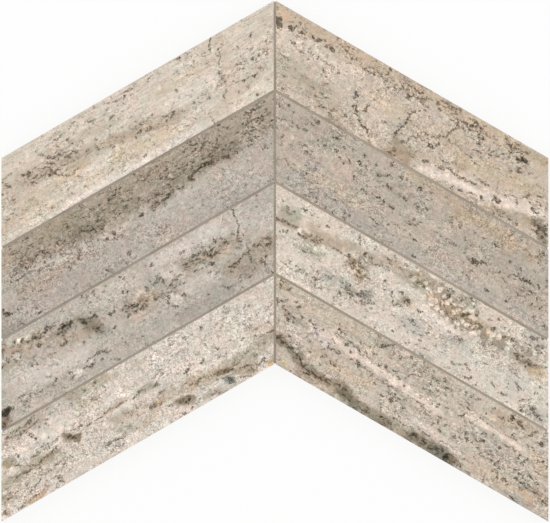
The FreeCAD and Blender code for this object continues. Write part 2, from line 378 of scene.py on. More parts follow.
# The figure of one tile at its points: s runs along the tile and t across it, in millimetres
def paintFigure(figure, s, t, seed):
    # Washes wander by a few millimetres, and lines by half of one
    broadS = s + 2.5 * cloud(s, t, 9, 4, seed + 1)
    broadT = t + 1.2 * cloud(s, t, 9, 4, seed + 2) + 0.5 * cloud(s, t, 3, 1.5, seed + 3)
    fineS = s + 0.55 * cloud(s, t, 1.3, 1.1, seed + 4)
    fineT = t + 0.55 * cloud(s, t, 1.3, 1.1, seed + 5)
    stone = np.tile(linear(figure["stone"]), (len(s), 1))
    ragged = 0.22 * cloud(s, t, 3.2, 1.8, seed + 8) + 0.2 * cloud(s, t, 1.3, 1.0, seed + 9)
    for colour, strength, width, *points in figure["washes"]:
        share = stroke(broadS, broadT, strokeLook["spread"] * width, points)
        share = np.clip((share + ragged * (share > 0) - 0.05) / 0.7, 0, 1)
        stone += strength * eased(share)[:, None] * (linear(colour) - stone)
    layers = {name: np.full(len(s), figure["levels"].get(name, 0.0)) for name in stoneLayers}
    for name in ("grain", "pale", "cell", "web", "worm", "moss"):
        for strength, width, *points in figure.get(name, []):
            layers[name] += strength * stroke(fineS, fineT, width, points)
    draws = np.random.default_rng(seed + 10)
    for name, strength, width, points in singleMarks(figure, draws):
        if len(points) == 1:
            lean = width * draws.uniform(np.negative(strokeLook["lean"]), strokeLook["lean"])
            points = [points[0] - lean, points[0] + lean]
        share = np.clip(1.7 * stroke(fineS, fineT, strokeLook["spread"] * width, points), 0, 1)
        layers[name] = np.maximum(layers[name], strength * eased(share))
    return stone, layers


tileShape = {"alongStep": 0.5 * mm, "acrossStep": 0.45 * mm, "pitDepth": 0.12 * mm, "waveDepth": 0.03 * mm,
             "pitSize": (1.4, 1.4), "waveSize": (14, 5), "fullPit": 0.6, "seedStep": 100,
             "placeStep": 400, "sharpDegrees": 25}


# The box, one end, the foot and the slope of a tile's CAD node
def tileOutline(node):
    points = nodePoints(node)
    low, high = points.min(0), points.max(0)
    ends = [atX(points, x) for x in (low[0], high[0])]
    footY = [end[:, 1].min() for end in ends]
    slope = (footY[1] - footY[0]) / (high[0] - low[0])
    return low, high, ends[0], footY[0], slope


# One upright section of a tile, as heights above its foot and z, with the grooves of its back
def tileSection(end, footY, low, high, tilt):
    rise = end[:, 1].max() - footY
    arris = high[2] - end[:, 2].max()
    arrisRise = arris / math.cos(tilt)
    inner = end[(end[:, 2] > low[2] + touching) & (end[:, 2] < high[2] - arris - touching)]
    keyTop = inner[:, 2].max()
    keyEdges = sorted({round(float(y - footY), 6) for y in inner[:, 1]}, reverse=True)
    back = []
    for upper, lower in zip(keyEdges[0::2], keyEdges[1::2]):
        back += [(upper, low[2]), (upper, keyTop), (lower, keyTop), (lower, low[2])]
    across = int(rise * math.cos(tilt) / tileShape["acrossStep"])
    topHeights = np.linspace(arrisRise, rise - arrisRise, across)
    section = [(0, low[2]), (0, high[2] - arris)] + [(h, high[2]) for h in topHeights]
    section += [(rise, high[2] - arris), (rise, low[2])] + back
    return np.array(section), across, arris


# A tile is lofted along its run from that section
def makeTile(number, node, figure):
    low, high, end, footY, slope = tileOutline(node)
    tilt = math.atan(slope)
    section, across, arris = tileSection(end, footY, low, high, tilt)
    top = slice(2, 2 + across)
    along = int((high[0] - low[0]) / math.cos(tilt) / tileShape["alongStep"])
    stations = np.concatenate([[low[0]], np.linspace(low[0] + arris, high[0] - arris, along), [high[0]]])
    count = len(section)
    grid = np.zeros((len(stations), count, 3))
    grid[:, :, 0] = stations[:, None]
    grid[:, :, 1] = footY + (stations[:, None] - low[0]) * slope + section[None, :, 0]
    grid[:, :, 2] = section[None, :, 1]
    flat = grid.reshape(-1, 3)
    dx, dy = (flat[:, 0] - low[0]) / mm, (flat[:, 1] - footY) / mm
    s = dx * math.cos(tilt) + dy * math.sin(tilt)
    t = dy * math.cos(tilt) - dx * math.sin(tilt)
    seed = tileShape["seedStep"] * number
    stone, layers = paintFigure(figure, s, t, seed)

    # Honed relief goes down only: soft waves, and shallow pits where the figure is dark
    waves = 0.5 + 0.5 * cloud(s, t, *tileShape["waveSize"], seed + 6)
    uneven = cloud(s, t, *tileShape["pitSize"], seed + 7)
    darkness = layers["moss"] + 0.5 * layers["mark"] + 0.25 * uneven
    pits = np.clip(darkness, 0, tileShape["fullPit"]) / tileShape["fullPit"]
    relief = tileShape["waveDepth"] * waves + tileShape["pitDepth"] * pits
    grid[:, top, 2] -= relief.reshape(len(stations), count)[:, top]
    grid[[0, -1], top, 2] = high[2] - arris

    index = np.arange(len(stations) * count).reshape(len(stations), count)
    after = np.roll(index, -1, 1)
    quads = np.stack([index[:-1], index[1:], after[1:], after[:-1]], -1).reshape(-1, 4).tolist()
    caps = [index[0].tolist(), index[-1][::-1].tolist()]
    mesh = closedMesh(f"stone_{node}", grid.reshape(-1, 3).tolist(), quads + caps)
    place = np.stack([s + tileShape["placeStep"] * number, t, flat[:, 2] / mm], 1)
    paint(mesh, "place", "FLOAT_VECTOR", "vector", place)
    paint(mesh, "stone", "FLOAT_COLOR", "color", np.concatenate([stone, np.ones((len(s), 1))], 1))
    for name, values in layers.items():
        paint(mesh, name, "FLOAT", "value", values)

    mesh.materials.append(faceMaterial)
    mesh.materials.append(bodyMaterial)
    around = np.arange(count)
    isFace = (around >= 1) & (around < 2 + across)
    slots = np.append(np.tile(np.where(isFace, 0, 1), len(stations) - 1), [1, 1])
    mesh.polygons.foreach_set("material_index", slots)
    addPiece(mesh, tileShape["sharpDegrees"], [node])


# In the figures, places and widths are millimetres along and across a tile from its lower left corner.
# A wash is a colour, strength, width and points. Specks and grains are single spots of one strength and
# width, and lines and streaks are paths of one. The rest is strength, width and points.
figureLeft1 = {
    "stone": (214, 203, 188),
    "levels": {"grain": 0.8, "bedding": 0.75, "web": 0.1},
    "washes": [
        ((186, 168, 146), 0.6, 4.5, (6, 8), (18, 11), (32, 9)),
        ((200, 184, 166), 0.6, 9, (18, 22), (40, 26), (58, 22)),
        ((178, 162, 140), 0.6, 5, (56, 23), (85, 20), (104, 18), (120, 15)),
        ((160, 142, 118), 0.35, 3, (84, 20), (98, 18), (108, 16)),
        ((208, 188, 154), 0.45, 4, (60, 14), (90, 12), (112, 10)),
        ((208, 190, 160), 0.45, 3.5, (24, 14), (50, 16), (66, 17)),
        ((206, 190, 164), 0.4, 4, (118, 30), (150, 33)), ((224, 210, 188), 0.45, 4, (20, 5), (44, 7)),
        ((190, 174, 154), 0.5, 4.5, (20, 29), (40, 24), (58, 23)),
        ((194, 182, 163), 0.5, 4, (50, 32), (70, 31), (90, 30)),
        # The near-white band along the lower edge is a painted highlight of light falling on that edge
        ((232, 222, 211), 0.9, 3.2, (40, 2), (70, 2), (100, 1.5), (130, 2)),
        ((228, 219, 208), 0.6, 4, (62, 12), (75, 13)),
        ((224, 212, 200), 0.6, 5, (118, 22), (135, 24), (150, 22)),
        ((224, 212, 200), 0.5, 4, (90, 37), (120, 37), (142, 37)),
        ((206, 188, 168), 0.5, 5, (153, 12), (158, 25), (164, 38)),
        ((218, 203, 180), 0.5, 5, (58, 7), (90, 8), (118, 7)),
        ((226, 214, 197), 0.6, 4, (152, 4), (170, 5), (174, 3)),
        ((196, 181, 160), 0.5, 3, (140, 6), (150, 8), (176, 13)),
    ],
    "moss": [
        (0.14, 9, (12, 16), (40, 23), (64, 27)), (0.13, 7, (60, 34), (110, 37), (160, 34)),
        (0.1, 6, (150, 12), (172, 20)), (0.16, 4, (112, 16), (125, 14), (140, 16)),
        (0.16, 2.6, (155, 14), (168, 13), (180, 15)), (0.12, 5, (20, 30), (40, 26), (60, 24)),
        (0.1, 4, (60, 38), (80, 38), (110, 39)), (0.11, 6, (44, 24), (70, 22), (104, 20), (122, 18)),
        (0.2, 2, (105, 40), (118, 40)),
    ],
    "web": [(0.5, 6, (165, 22), (185, 22)), (0.35, 5, (22, 4), (45, 4))],
    "pale": [(0.2, 4, (55, 2), (95, 2)), (0.15, 4, (125, 23), (148, 23))],
    "specks": [
        (0.85, 1, (30, 28.5), (33.5, 28), (43, 21), (46.5, 20.5), (50, 28.5), (138, 41), (98.5, 17),
         (169, 12.5)),
        (0.65, 0.9, (20.5, 27), (48, 29.5), (45, 23), (47.5, 18.5), (61.5, 33), (87.5, 17), (75, 25.5),
         (95, 15), (101, 38.5), (127.5, 26.5), (88, 31.5), (155, 37.5), (153, 22), (149, 10.5),
         (178.5, 32.5), (181, 19), (104.5, 16), (94.5, 4), (162.5, 13), (169, 30.5)),
        (0.5, 0.85, (32.5, 35.5), (47, 30.5), (15, 25), (22, 11), (24.5, 32.5), (36, 4.5), (49, 6),
         (81.5, 17.5), (68, 22.5), (68, 27.5), (101, 20.5), (115, 17), (125.5, 15), (127, 22.5), (150, 5.5),
         (173.5, 27), (171, 12), (165, 13.5), (163, 8.5), (157, 8.5), (164, 22.5), (83, 41.5),
         (183.5, 25.5), (141.5, 14), (62.5, 30.5)),
    ],
    "lines": [
        (0.5, 0.75, [(43.5, 36.5), (43.5, 34.5), (44.5, 33.5), (46, 31.5), (48, 29.5)]),
        (0.6, 0.8, [(19, 28), (20, 27.5), (21.5, 26)]),
        (0.5, 0.8, [(47, 19.5), (48.5, 18), (50, 17), (52, 15.5), (54, 14.5), (56, 16), (60, 16.5)],
         [(137, 4), (137, 2), (136.5, 0)]),
        (0.55, 0.8, [(158.5, 42.5), (157.5, 41), (156, 39), (155, 37), (154.5, 36)]),
        (0.45, 0.65, [(156, 34), (157, 32), (158, 30.5), (156.5, 28.5), (155.5, 27.5), (155, 25.5)],
         [(177, 24.5), (179, 24), (181, 23), (182, 21.5), (182, 20), (181, 19)]),
        (0.55, 1, [(153, 23.5), (152.5, 22), (154, 21), (153, 20)]),
        (0.5, 0.7, [(153.5, 20), (153, 18.5), (154, 17.5), (153, 16), (152.5, 14), (151.5, 13), (150, 12),
         (149, 10.5)]), (0.42, 0.7, [(130.5, 22), (132, 20.5), (133.5, 20)]),
        (0.5, 0.9, [(103.5, 17), (102, 15.5), (104, 15), (105.5, 15.5)]),
        (0.45, 1, [(73.5, 23), (73.5, 21), (74, 20)]),
    ],
    "grains": [
        (0.6, 1.2, (103, 18), (83, 4), (76, 12.5), (168.5, 32), (45, 3)),
        (0.45, 1, (38, 37), (52, 12), (64, 13), (90, 35), (120, 33), (145, 38), (160, 5), (166, 6),
         (132, 24), (147, 23), (178, 22), (8, 3), (58, 2), (109, 2), (94, 1.5), (119, 8), (133, 33)),
    ],
    "streaks": [
        (0.45, 0.5, [(90.5, 30), (93, 33)]), (0.4, 0.8, [(150, 1), (158, 1.5), (168, 1)]),
        (0.35, 0.8, [(128, 33), (142, 31)]),
    ],
}
makeTile(1, "tile_left_1", figureLeft1)

figureRight1 = {
    "stone": (200, 186, 169),
    "levels": {"moss": 0.02, "grain": 1.25, "bedding": 0.4, "pale": 0.05},
    "washes": [
        ((196, 174, 146), 0.55, 5.5, (-24, 39), (20, 39), (60, 41), (100, 41), (150, 39)),
        ((210, 176, 146), 0.6, 2.5, (-18, 38), (-13, 38)), ((164, 154, 134), 0.7, 5, (11, 12), (15, 13)),
        ((168, 156, 134), 0.7, 4, (20, 12), (23, 15)), ((182, 150, 116), 0.6, 2, (20, 7)),
        ((160, 146, 124), 0.6, 3, (33, 2), (40, 2)), ((180, 168, 148), 0.5, 7, (-8, 14), (20, 10), (36, 6)),
        ((158, 142, 118), 0.8, 4.5, (72, 8), (78, 7), (82, 6)),
        ((166, 140, 112), 0.7, 3.5, (69, 1), (76, 2), (84, 3)),
        ((224, 206, 190), 0.85, 3.2, (92, 3), (112, 6), (126, 7), (142, 9), (162, 14)),
        ((134, 122, 102), 0.85, 4, (162, 9), (167, 6), (172, 2)),
        ((150, 138, 114), 0.6, 3, (107, 14), (112, 15)),
        ((204, 183, 152), 0.5, 6, (108, 18), (130, 21), (152, 24)),
        ((222, 207, 191), 0.65, 6.5, (-12, 27), (10, 28), (36, 28)),
        ((212, 195, 168), 0.45, 7, (48, 25), (70, 22), (100, 26)),
        ((216, 202, 188), 0.5, 6, (55, 18), (62, 10)), ((212, 196, 182), 0.5, 6, (78, 26), (90, 27)),
        ((164, 148, 124), 0.6, 4, (135, 2), (150, 4), (158, 7)),
        ((176, 172, 164), 0.6, 2, (69, 19), (70, 16)), ((178, 174, 168), 0.5, 2, (39.5, 20), (39, 17)),
        ((190, 180, 172), 0.5, 3, (80, 33), (88, 31)), ((172, 156, 130), 0.6, 3, (132, 40), (150, 40)),
    ],
    "moss": [
        (0.14, 6, (-10, 38), (60, 39), (120, 38), (148, 34)), (0.12, 8, (96, 24), (140, 26), (160, 18)),
        (0.3, 4, (112, 34), (114, 31)), (0.25, 3, (136, 34), (140, 35)),
        (0.14, 4, (40, 35), (60, 34), (90, 36), (108, 37)), (0.1, 5, (-14, 28), (10, 27), (30, 28)),
        (0.22, 3, (164, 8), (169, 4)), (0.14, 3, (132, 39), (142, 40)), (0.2, 2.5, (135, 9), (140, 8)),
        (0.1, 8, (0, 12), (30, 8)), (0.14, 4, (120, 31), (132, 28), (146, 31)),
    ],
    "web": [
        (0.6, 9, (62, 33), (70, 30)), (0.5, 8, (74, 16), (92, 20)), (0.5, 8, (0, 28), (36, 28)),
        (0.5, 8, (110, 32), (140, 30)),
    ],
    "worm": [(0.5, 9, (74, 22), (96, 24), (120, 27)), (0.4, 7, (128, 22), (150, 24))],
    "pale": [(0.3, 3, (95, 4), (125, 6), (160, 14)), (0.1, 6, (-10, 29), (30, 28))],
    "grain": [(0.4, 8, (40, 34), (130, 34)), (0.3, 10, (80, 20), (110, 20))],
    "specks": [
        (0.95, 1.7, (-17, 32.5), (-18.5, 34.5)), (0.85, 1.4, (15.5, 35), (-9.5, 33.5)),
        (0.75, 1.1, (7, 35.5), (36.5, 34.5), (40, 20), (48.5, 15), (84.5, 36), (91.5, 7), (90, 16),
         (128.5, 5.5), (54, 6), (168.5, 6), (157, 14), (136.5, 8), (138.5, 8), (71, 17), (168, 8)),
        (0.65, 1, (4, 35), (-8, 35.5), (12, 35), (28.5, 36), (41.5, 13.5), (61, 14.5), (75, 10),
         (81.5, 38.5), (104.5, 40), (105, 38), (70.5, 39), (49, 41.5), (60, 36.5), (138, 35), (139.5, 34.5),
         (135, 33.5), (130.5, 35), (112.5, 21.5), (113, 33.5), (127.5, 38.5), (152.5, 2.5), (165.5, 6.5),
         (47, 9.5), (112, 8.5), (147.5, 12.5), (-4.5, 27.5), (97.5, 33), (165, 4)),
        (0.5, 0.9, (-7, 38.5), (10, 37), (13, 36), (26, 37), (30, 36.5), (38.5, 34), (38.5, 29.5),
         (15, 30.5), (17.5, 26.5), (19, 26.5), (21, 26.5), (7.5, 27), (11.5, 27), (13.5, 27), (25.5, 25.5),
         (17.5, 22), (2.5, 2.5), (29.5, 8), (40.5, 7), (41.5, 6), (23, 40.5), (57, 32.5), (65.5, 33),
         (77.5, 31), (85, 20.5), (81, 18), (91, 15), (74, 3), (112.5, 32), (111, 33), (110, 35),
         (110.5, 40.5), (112, 30), (119.5, 30.5), (121, 30.5), (127, 32), (129, 33), (133, 38.5),
         (137.5, 36), (138.5, 28), (139.5, 28), (145.5, 30.5), (135.5, 26), (159.5, 18), (163, 17.5),
         (150.5, 20), (150.5, 18.5), (146.5, 13), (137, 9.5), (135, 9.5), (135, 7), (109.5, 11), (112, 3),
         (139, 1), (143, 1.5), (162, 7), (169, 3), (170.5, 5), (167.5, 10), (112, 1), (157, 26.5), (46, 40),
         (107, 14), (100.5, 11.5)),
    ],
    "lines": [
        (0.62, 0.85, [(73, 28), (72, 27), (71, 26), (71.5, 24), (71.5, 22), (71.5, 20), (71, 18.5),
         (71.5, 17), (71, 16), (69.5, 13), (69, 12)], [(120.5, 3.5), (123, 4.5), (125, 4.5)]),
        (0.45, 0.9, [(70, 12), (70, 10), (70.5, 8), (70, 6)]),
        (0.7, 0.9, [(96, 34.5), (97, 33.5), (98, 32.5), (97, 31), (96, 29.5), (95.5, 28), (95, 26.5),
         (95, 25)]),
        (0.5, 0.75, [(95, 25), (96, 24.5), (97.5, 23.5), (99.5, 23), (101.5, 24)], [(98, 36.5), (100, 37),
         (103, 37.5)], [(104, 10), (107, 10.5)]),
        (0.45, 0.7, [(94.5, 25), (92.5, 24), (91, 22.5), (89.5, 22), (88.5, 21.5), (88.5, 20)]),
        (0.45, 0.65, [(82.5, 21), (84, 20.5), (85.5, 20), (86, 18.5), (85.5, 17), (84.5, 16), (82, 17),
         (81, 18), (81.5, 19.5), (82.5, 20.5)]),
        (0.48, 0.75, [(81.5, 17), (80.5, 16), (78.5, 15.5), (77.5, 15), (77.5, 13), (77.5, 12)]),
        (0.52, 0.85, [(88, 17.5), (88.5, 16), (89.5, 15.5), (91, 15.5), (92, 16.5), (93, 18),
         (93.5, 19.5)]), (0.48, 0.65, [(99.5, 34), (102, 33), (102.5, 32), (103, 31)]),
        (0.42, 0.65, [(104, 30.5), (106, 31), (109, 31)], [(5, 28), (4.5, 29), (5, 30)], [(105.5, 2.5),
         (108, 3)], [(112, 36.5), (116.5, 36.5)], [(121.5, 35), (123.5, 33.5)]),
        (0.68, 0.85, [(43, 14.5), (43.5, 13), (44, 12), (45, 11), (46.5, 10), (48.5, 8.5), (50, 7.5),
         (51.5, 6.5), (53, 6), (54.5, 6), (57, 4)]), (0.6, 1, [(48.5, 18), (48.5, 16.5), (48.5, 14)]),
        (0.62, 1, [(39.5, 20.5), (40.5, 19.5), (40, 18), (40.5, 17)]),
        (0.75, 1, [(-5, 34), (-2, 34.5)]), (0.52, 0.8, [(-5, 31.5), (-2.5, 32.5)]),
        (0.45, 0.8, [(-12, 37), (-10, 37.5)], [(42, 35.5), (45, 35), (47, 36), (49, 36)]),
        (0.42, 0.6, [(25.5, 32.5), (28, 33), (29.5, 33.5)], [(4, 25.5), (3, 25), (1, 25)]),
        (0.55, 0.75, [(5, 27), (7.5, 27.5)]), (0.6, 0.8, [(-5, 28), (-4.5, 27)]),
        (0.62, 0.75, [(25.5, 4.5), (27, 5), (29.5, 5)], [(107, 9.5), (110, 8.5), (113, 9), (115, 9.5),
         (117, 9), (120, 9.5), (123, 10)], [(130.5, 36), (131, 35), (130.5, 34)]),
        (0.42, 1, [(32, 3.5), (34, 2.5)]), (0.52, 1, [(63, 38.5), (66, 39), (68, 39.5), (70, 39)]),
        (0.45, 1, [(75, 38), (78, 38.5)]),
        (0.5, 0.9, [(83, 41), (90, 40.5), (95, 41.5)], [(65, 33), (67, 34)], [(74.5, 10), (77, 10)]),
        (0.5, 0.8, [(88, 39), (91, 39.5), (93.5, 38.5)]),
        (0.52, 0.75, [(74, 34), (76, 33.5), (78.5, 34)], [(116, 2.5), (118, 3)], [(139.5, 12.5),
         (141, 13)]),
        (0.42, 0.7, [(67, 20), (67.5, 21)], [(92, 8.5), (94, 8.5)], [(151.5, 27), (154, 26.5),
         (156.5, 26)]), (0.5, 1, [(72, 5), (74, 4), (72, 2)]),
        (0.5, 1.1, [(69, 1.5), (72, 1), (75, 1.5)]), (0.66, 0.8, [(90, 6.5), (92.5, 7.5)]),
        (0.5, 0.65, [(98, 8), (100, 8), (102.5, 8)]),
        (0.42, 0.8, [(100, 9.5), (103, 9)], [(108, 38.5), (111, 38)]),
        (0.56, 0.85, [(123, 13), (127, 12.5), (128.5, 13)]), (0.75, 0.7, [(156.5, 14), (158, 13.5)]),
        (0.66, 0.65, [(158, 12.5), (160, 13), (160.5, 14)]), (0.42, 0.75, [(149, 17), (150, 17.5)]),
        (0.42, 1.2, [(138, 3.5), (143, 4)]),
    ],
    "grains": [
        (0.6, 1.4, (98.5, 2.5), (91, 2), (143, 8), (132, 4), (48.5, 33.5), (73, 26), (-2, 29.5)),
        (0.5, 1, (12.5, 30), (29, 28), (0, 27), (106, 7), (117, 6.5), (154, 13.5), (151, 15.5),
         (120, 6.5), (20, 29), (-10, 31.5), (66, 27), (83.5, 18.5), (88.5, 18.5), (80, 14), (86, 24),
         (54, 27), (46, 14.5), (60, 18), (64, 9.5), (104, 27), (126, 28), (148, 27), (140, 6), (128, 10.5),
         (116, 34.5), (32, 30), (-14, 31)),
    ],
    "streaks": [
        (0.5, 0.8, [(150, 16.5), (155, 17.5), (158, 18.5)], [(94, 7), (99, 7)]),
        (0.5, 1, [(108, 10.5), (116, 11), (124, 11)]), (0.4, 1, [(110, 6), (124, 6.5)]),
    ],
}
makeTile(2, "tile_right_1", figureRight1)

figureLeft2 = {
    "stone": (190, 180, 168),
    "levels": {"grain": 1.0, "bedding": 0.45, "worm": 0.15, "pale": -0.05},
    "washes": [
        ((172, 159, 142), 0.85, 13, (22, 38), (60, 37), (110, 37), (160, 36), (192, 38)),
        ((160, 148, 131), 0.5, 7, (60, 30), (80, 28), (100, 27)),
        ((160, 149, 124), 0.5, 6, (50, 39), (66, 38)),
        ((146, 135, 116), 0.6, 5, (66, 30), (72, 27), (79, 25)),
        ((150, 140, 118), 0.5, 4, (82, 33), (98, 29)),
        ((150, 138, 119), 0.6, 5, (112, 24), (135, 27), (152, 28), (165, 28)),
        ((148, 134, 116), 0.6, 4, (152, 27), (160, 25)), ((190, 181, 170), 0.6, 4, (20, 30), (24, 28)),
        ((192, 172, 156), 0.5, 3.5, (22, 35), (28, 40)),
        ((184, 164, 144), 0.5, 5, (24, 16), (36, 14), (46, 16)),
        ((116, 100, 80), 0.8, 2.2, (8, 11), (11, 9)), ((142, 137, 127), 0.7, 4, (0, 1), (14, 2)),
        ((174, 158, 138), 0.5, 4, (88, 38), (100, 37), (130, 40)),
        ((180, 172, 163), 0.55, 12, (12, 5), (60, 5), (120, 5), (168, 5)),
        ((190, 181, 170), 0.6, 6, (95, 13), (120, 13), (160, 14)),
        ((190, 180, 168), 0.6, 4, (130, 18), (150, 20), (176, 20)),
        ((178, 168, 155), 0.4, 4, (40, 3), (80, 4)), ((194, 182, 167), 0.6, 3.5, (106, 4), (118, 5)),
        ((176, 168, 150), 0.5, 3, (94, 14), (100, 17)),
    ],
    "moss": [
        (0.21, 10, (24, 37), (60, 36), (110, 36), (160, 36), (192, 38)),
        (0.14, 6, (25, 27), (50, 26), (70, 26)), (0.12, 6, (100, 28), (130, 29), (190, 30)),
        (0.2, 3, (68, 29), (78, 26)), (0.2, 3, (136, 25), (150, 27)), (0.16, 3, (110, 22), (130, 23)),
        (0.12, 3, (2, 2), (14, 1)),
    ],
    "worm": [
        (0.8, 13, (24, 26), (45, 25), (66, 22)), (0.4, 7, (100, 26), (130, 27), (185, 26)),
        (0.5, 5, (50, 17), (70, 16), (92, 19)),
    ],
    "cell": [(0.3, 8, (30, 30), (60, 27))],
    "web": [(0.6, 9, (28, 30), (60, 28)), (0.3, 6, (165, 33), (188, 30))],
    "pale": [
        (0.25, 5, (30, 24), (66, 22)), (0.22, 4, (74, 20), (92, 20)), (0.18, 4, (115, 19), (140, 18)),
    ],
    "grain": [(0.4, 10, (20, 30), (80, 28)), (0.3, 10, (100, 32), (190, 32))],
    "specks": [
        (0.8, 1, (83, 19), (78.5, 18.5), (113, 21.5), (146, 28), (135.5, 23.5), (9.5, 10), (159.5, 24.5),
         (126.5, 22.5), (101.5, 20.5), (119.5, 22.5), (109.5, 20)),
        (0.65, 0.95, (31.5, 27), (8.5, 13), (73, 27.5), (75, 27), (83, 20), (88, 20.5), (127.5, 22.5),
         (145, 27), (147, 26.5), (139, 25.5), (136.5, 23), (164.5, 24.5), (179.5, 40.5), (181, 40),
         (163.5, 42), (185, 40), (173, 24), (179, 26), (191, 37), (190.5, 30), (85, 5.5), (26, 2),
         (182.5, 39.5), (96.5, 29)),
        (0.5, 0.9, (40, 36), (35, 27.5), (46.5, 28.5), (54, 30), (44.5, 21), (61.5, 21), (68, 30),
         (78.5, 25), (75.5, 25.5), (74, 20.5), (90.5, 28), (91, 27), (93, 33), (89.5, 36.5), (109, 25.5),
         (112, 25), (114.5, 25.5), (117, 25.5), (115.5, 20.5), (112.5, 22.5), (116, 19), (110.5, 22),
         (117, 24), (121.5, 23), (123.5, 23.5), (126.5, 24), (129, 22.5), (160.5, 37), (175.5, 36.5),
         (158, 33.5), (165, 30), (169.5, 28), (185, 34.5), (174.5, 23.5), (179, 25), (149.5, 25.5),
         (162, 28), (153.5, 19.5), (179, 18.5), (180.5, 18), (173.5, 1.5), (15, 1), (28.5, 14.5),
         (31, 12.5), (32.5, 12), (86.5, 16.5), (72.5, 2), (98, 2), (111, 8.5), (20, 5.5), (104.5, 29),
         (79, 37), (68, 40), (183.5, 40.5)),
    ],
    "lines": [
        (0.48, 0.75, [(20, 24.5), (25, 24), (28, 24), (33, 24), (36, 22.5), (39, 22), (42, 22), (45, 21.5),
         (47, 22.5)]), (0.45, 1, [(28, 37.5), (31, 37), (32.5, 37)], [(150.5, 30), (152, 29.5)]),
        (0.42, 0.55, [(32, 31), (34, 31.5), (36, 30.5), (36, 29.5), (34.5, 29), (32.5, 29), (32, 30)],
         [(41, 20), (43, 19)], [(165.5, 12), (167, 11.5), (168.5, 12)]),
        (0.45, 0.65, [(28.5, 26.5), (29, 25), (29.5, 24)]),
        (0.45, 0.55, [(26, 27), (25.5, 25.5)], [(59, 27), (58, 25.5), (57.5, 24.5)]),
        (0.5, 0.75, [(40, 30.5), (42, 30.5), (43.5, 31), (44, 29.5), (45, 28), (46.5, 29)], [(78.5, 38),
         (79, 37), (80.5, 36.5)], [(81, 17.5), (82, 16.5), (83.5, 16)], [(69, 5.5), (69, 4), (70.5, 3),
         (72.5, 2.5)], [(158.5, 29), (161, 28), (162.5, 28.5)]),
        (0.42, 0.65, [(42.5, 28), (43, 26.5)], [(20, 18), (20.5, 17), (23, 16.5), (24.5, 16.5)],
         [(25, 18.5), (26.5, 18), (27.5, 17.5)], [(182, 24), (184, 24.5)], [(183.5, 19.5), (184, 18.5)]),
        (0.5, 0.9, [(53, 30.5), (54.5, 30.5), (53.5, 29.5)], [(61.5, 23), (61, 21), (61, 19.5)],
         [(28.5, 14.5), (30, 15.5)], [(95.5, 28), (97.5, 29.5)], [(122.5, 28.5), (123.5, 27)]),
        (0.45, 0.7, [(50, 28), (50, 26)]), (0.52, 0.55, [(52, 24), (54, 23), (56, 22), (57.5, 21.5)]),
        (0.42, 0.6, [(36, 16), (38, 15), (37.5, 13.5), (36, 12.5)], [(133, 17), (135, 17)]),
        (0.75, 1.1, [(8.5, 11), (10, 10), (11.5, 9)]), (0.45, 0.8, [(22, 13), (23.5, 12)]),
        (0.55, 1.1, [(14, 2), (15, 1)]), (0.52, 0.8, [(89, 29), (90.5, 28)]),
        (0.45, 0.9, [(107.5, 25), (110, 25.5)]),
        (0.66, 0.8, [(108.5, 20), (110, 20), (112.5, 20.5), (117.5, 21.5)]),
        (0.5, 0.8, [(116, 21.5), (118, 22)]), (0.6, 1, [(82.5, 20), (84, 19.5)]),
        (0.62, 0.75, [(77, 18.5), (79, 18.5)], [(84, 5.5), (86.5, 6)]), (0.5, 0.85, [(87, 20), (88.5, 21)]),
        (0.5, 0.7, [(85.5, 17), (87, 16.5), (86, 15.5)]),
        (0.62, 1.2, [(135, 25), (138, 26), (141, 26.5), (143, 27), (145.5, 28), (147.5, 27.5), (149, 26),
         (150.5, 25.5)]), (0.68, 1.1, [(156.5, 25.5), (158.5, 24.5), (160, 24)]),
        (0.65, 0.85, [(164.5, 25.5), (164.5, 23.5)]), (0.42, 0.9, [(154, 26), (152.5, 25)]),
        (0.58, 0.75, [(174.5, 27.5), (174.5, 26), (176, 25), (176, 26.5)]),
        (0.45, 0.75, [(169, 25.5), (168.5, 24)]), (0.5, 0.65, [(165.5, 40), (167.5, 39)]),
        (0.5, 0.55, [(138, 18), (138.5, 17)]),
        (0.46, 0.65, [(135.5, 16.5), (137, 16), (136, 15.5)], [(142.5, 17.5), (143.5, 16), (144, 15.5)]),
        (0.55, 0.8, [(172.5, 1.5), (174.5, 1)]),
    ],
    "grains": [
        (0.6, 1.6, (55.5, 27), (54.5, 28.5), (56, 25.5)),
        (0.5, 1.1, (34.5, 26), (26, 36), (23.5, 32.5), (34, 30), (81, 18), (87, 19.5), (91, 20),
         (78.5, 22.5), (85, 18), (65, 18.5), (166.5, 10.5), (115.5, 23), (125, 21), (130.5, 20)),
    ],
    "streaks": [
        (0.65, 0.65, [(47.5, 21.5), (50, 21), (54, 21), (57, 20.5)]),
        (0.5, 0.45, [(44, 32.5), (45.5, 31.5), (47, 31.5)], [(45, 33), (46, 30.5)]),
        (0.4, 0.5, [(51, 17.5), (56, 17)], [(157, 37), (159, 40)], [(36.5, 26.5), (36, 24)], [(40, 25.5),
         (39.5, 23.5)]),
    ],
}
makeTile(3, "tile_left_2", figureLeft2)

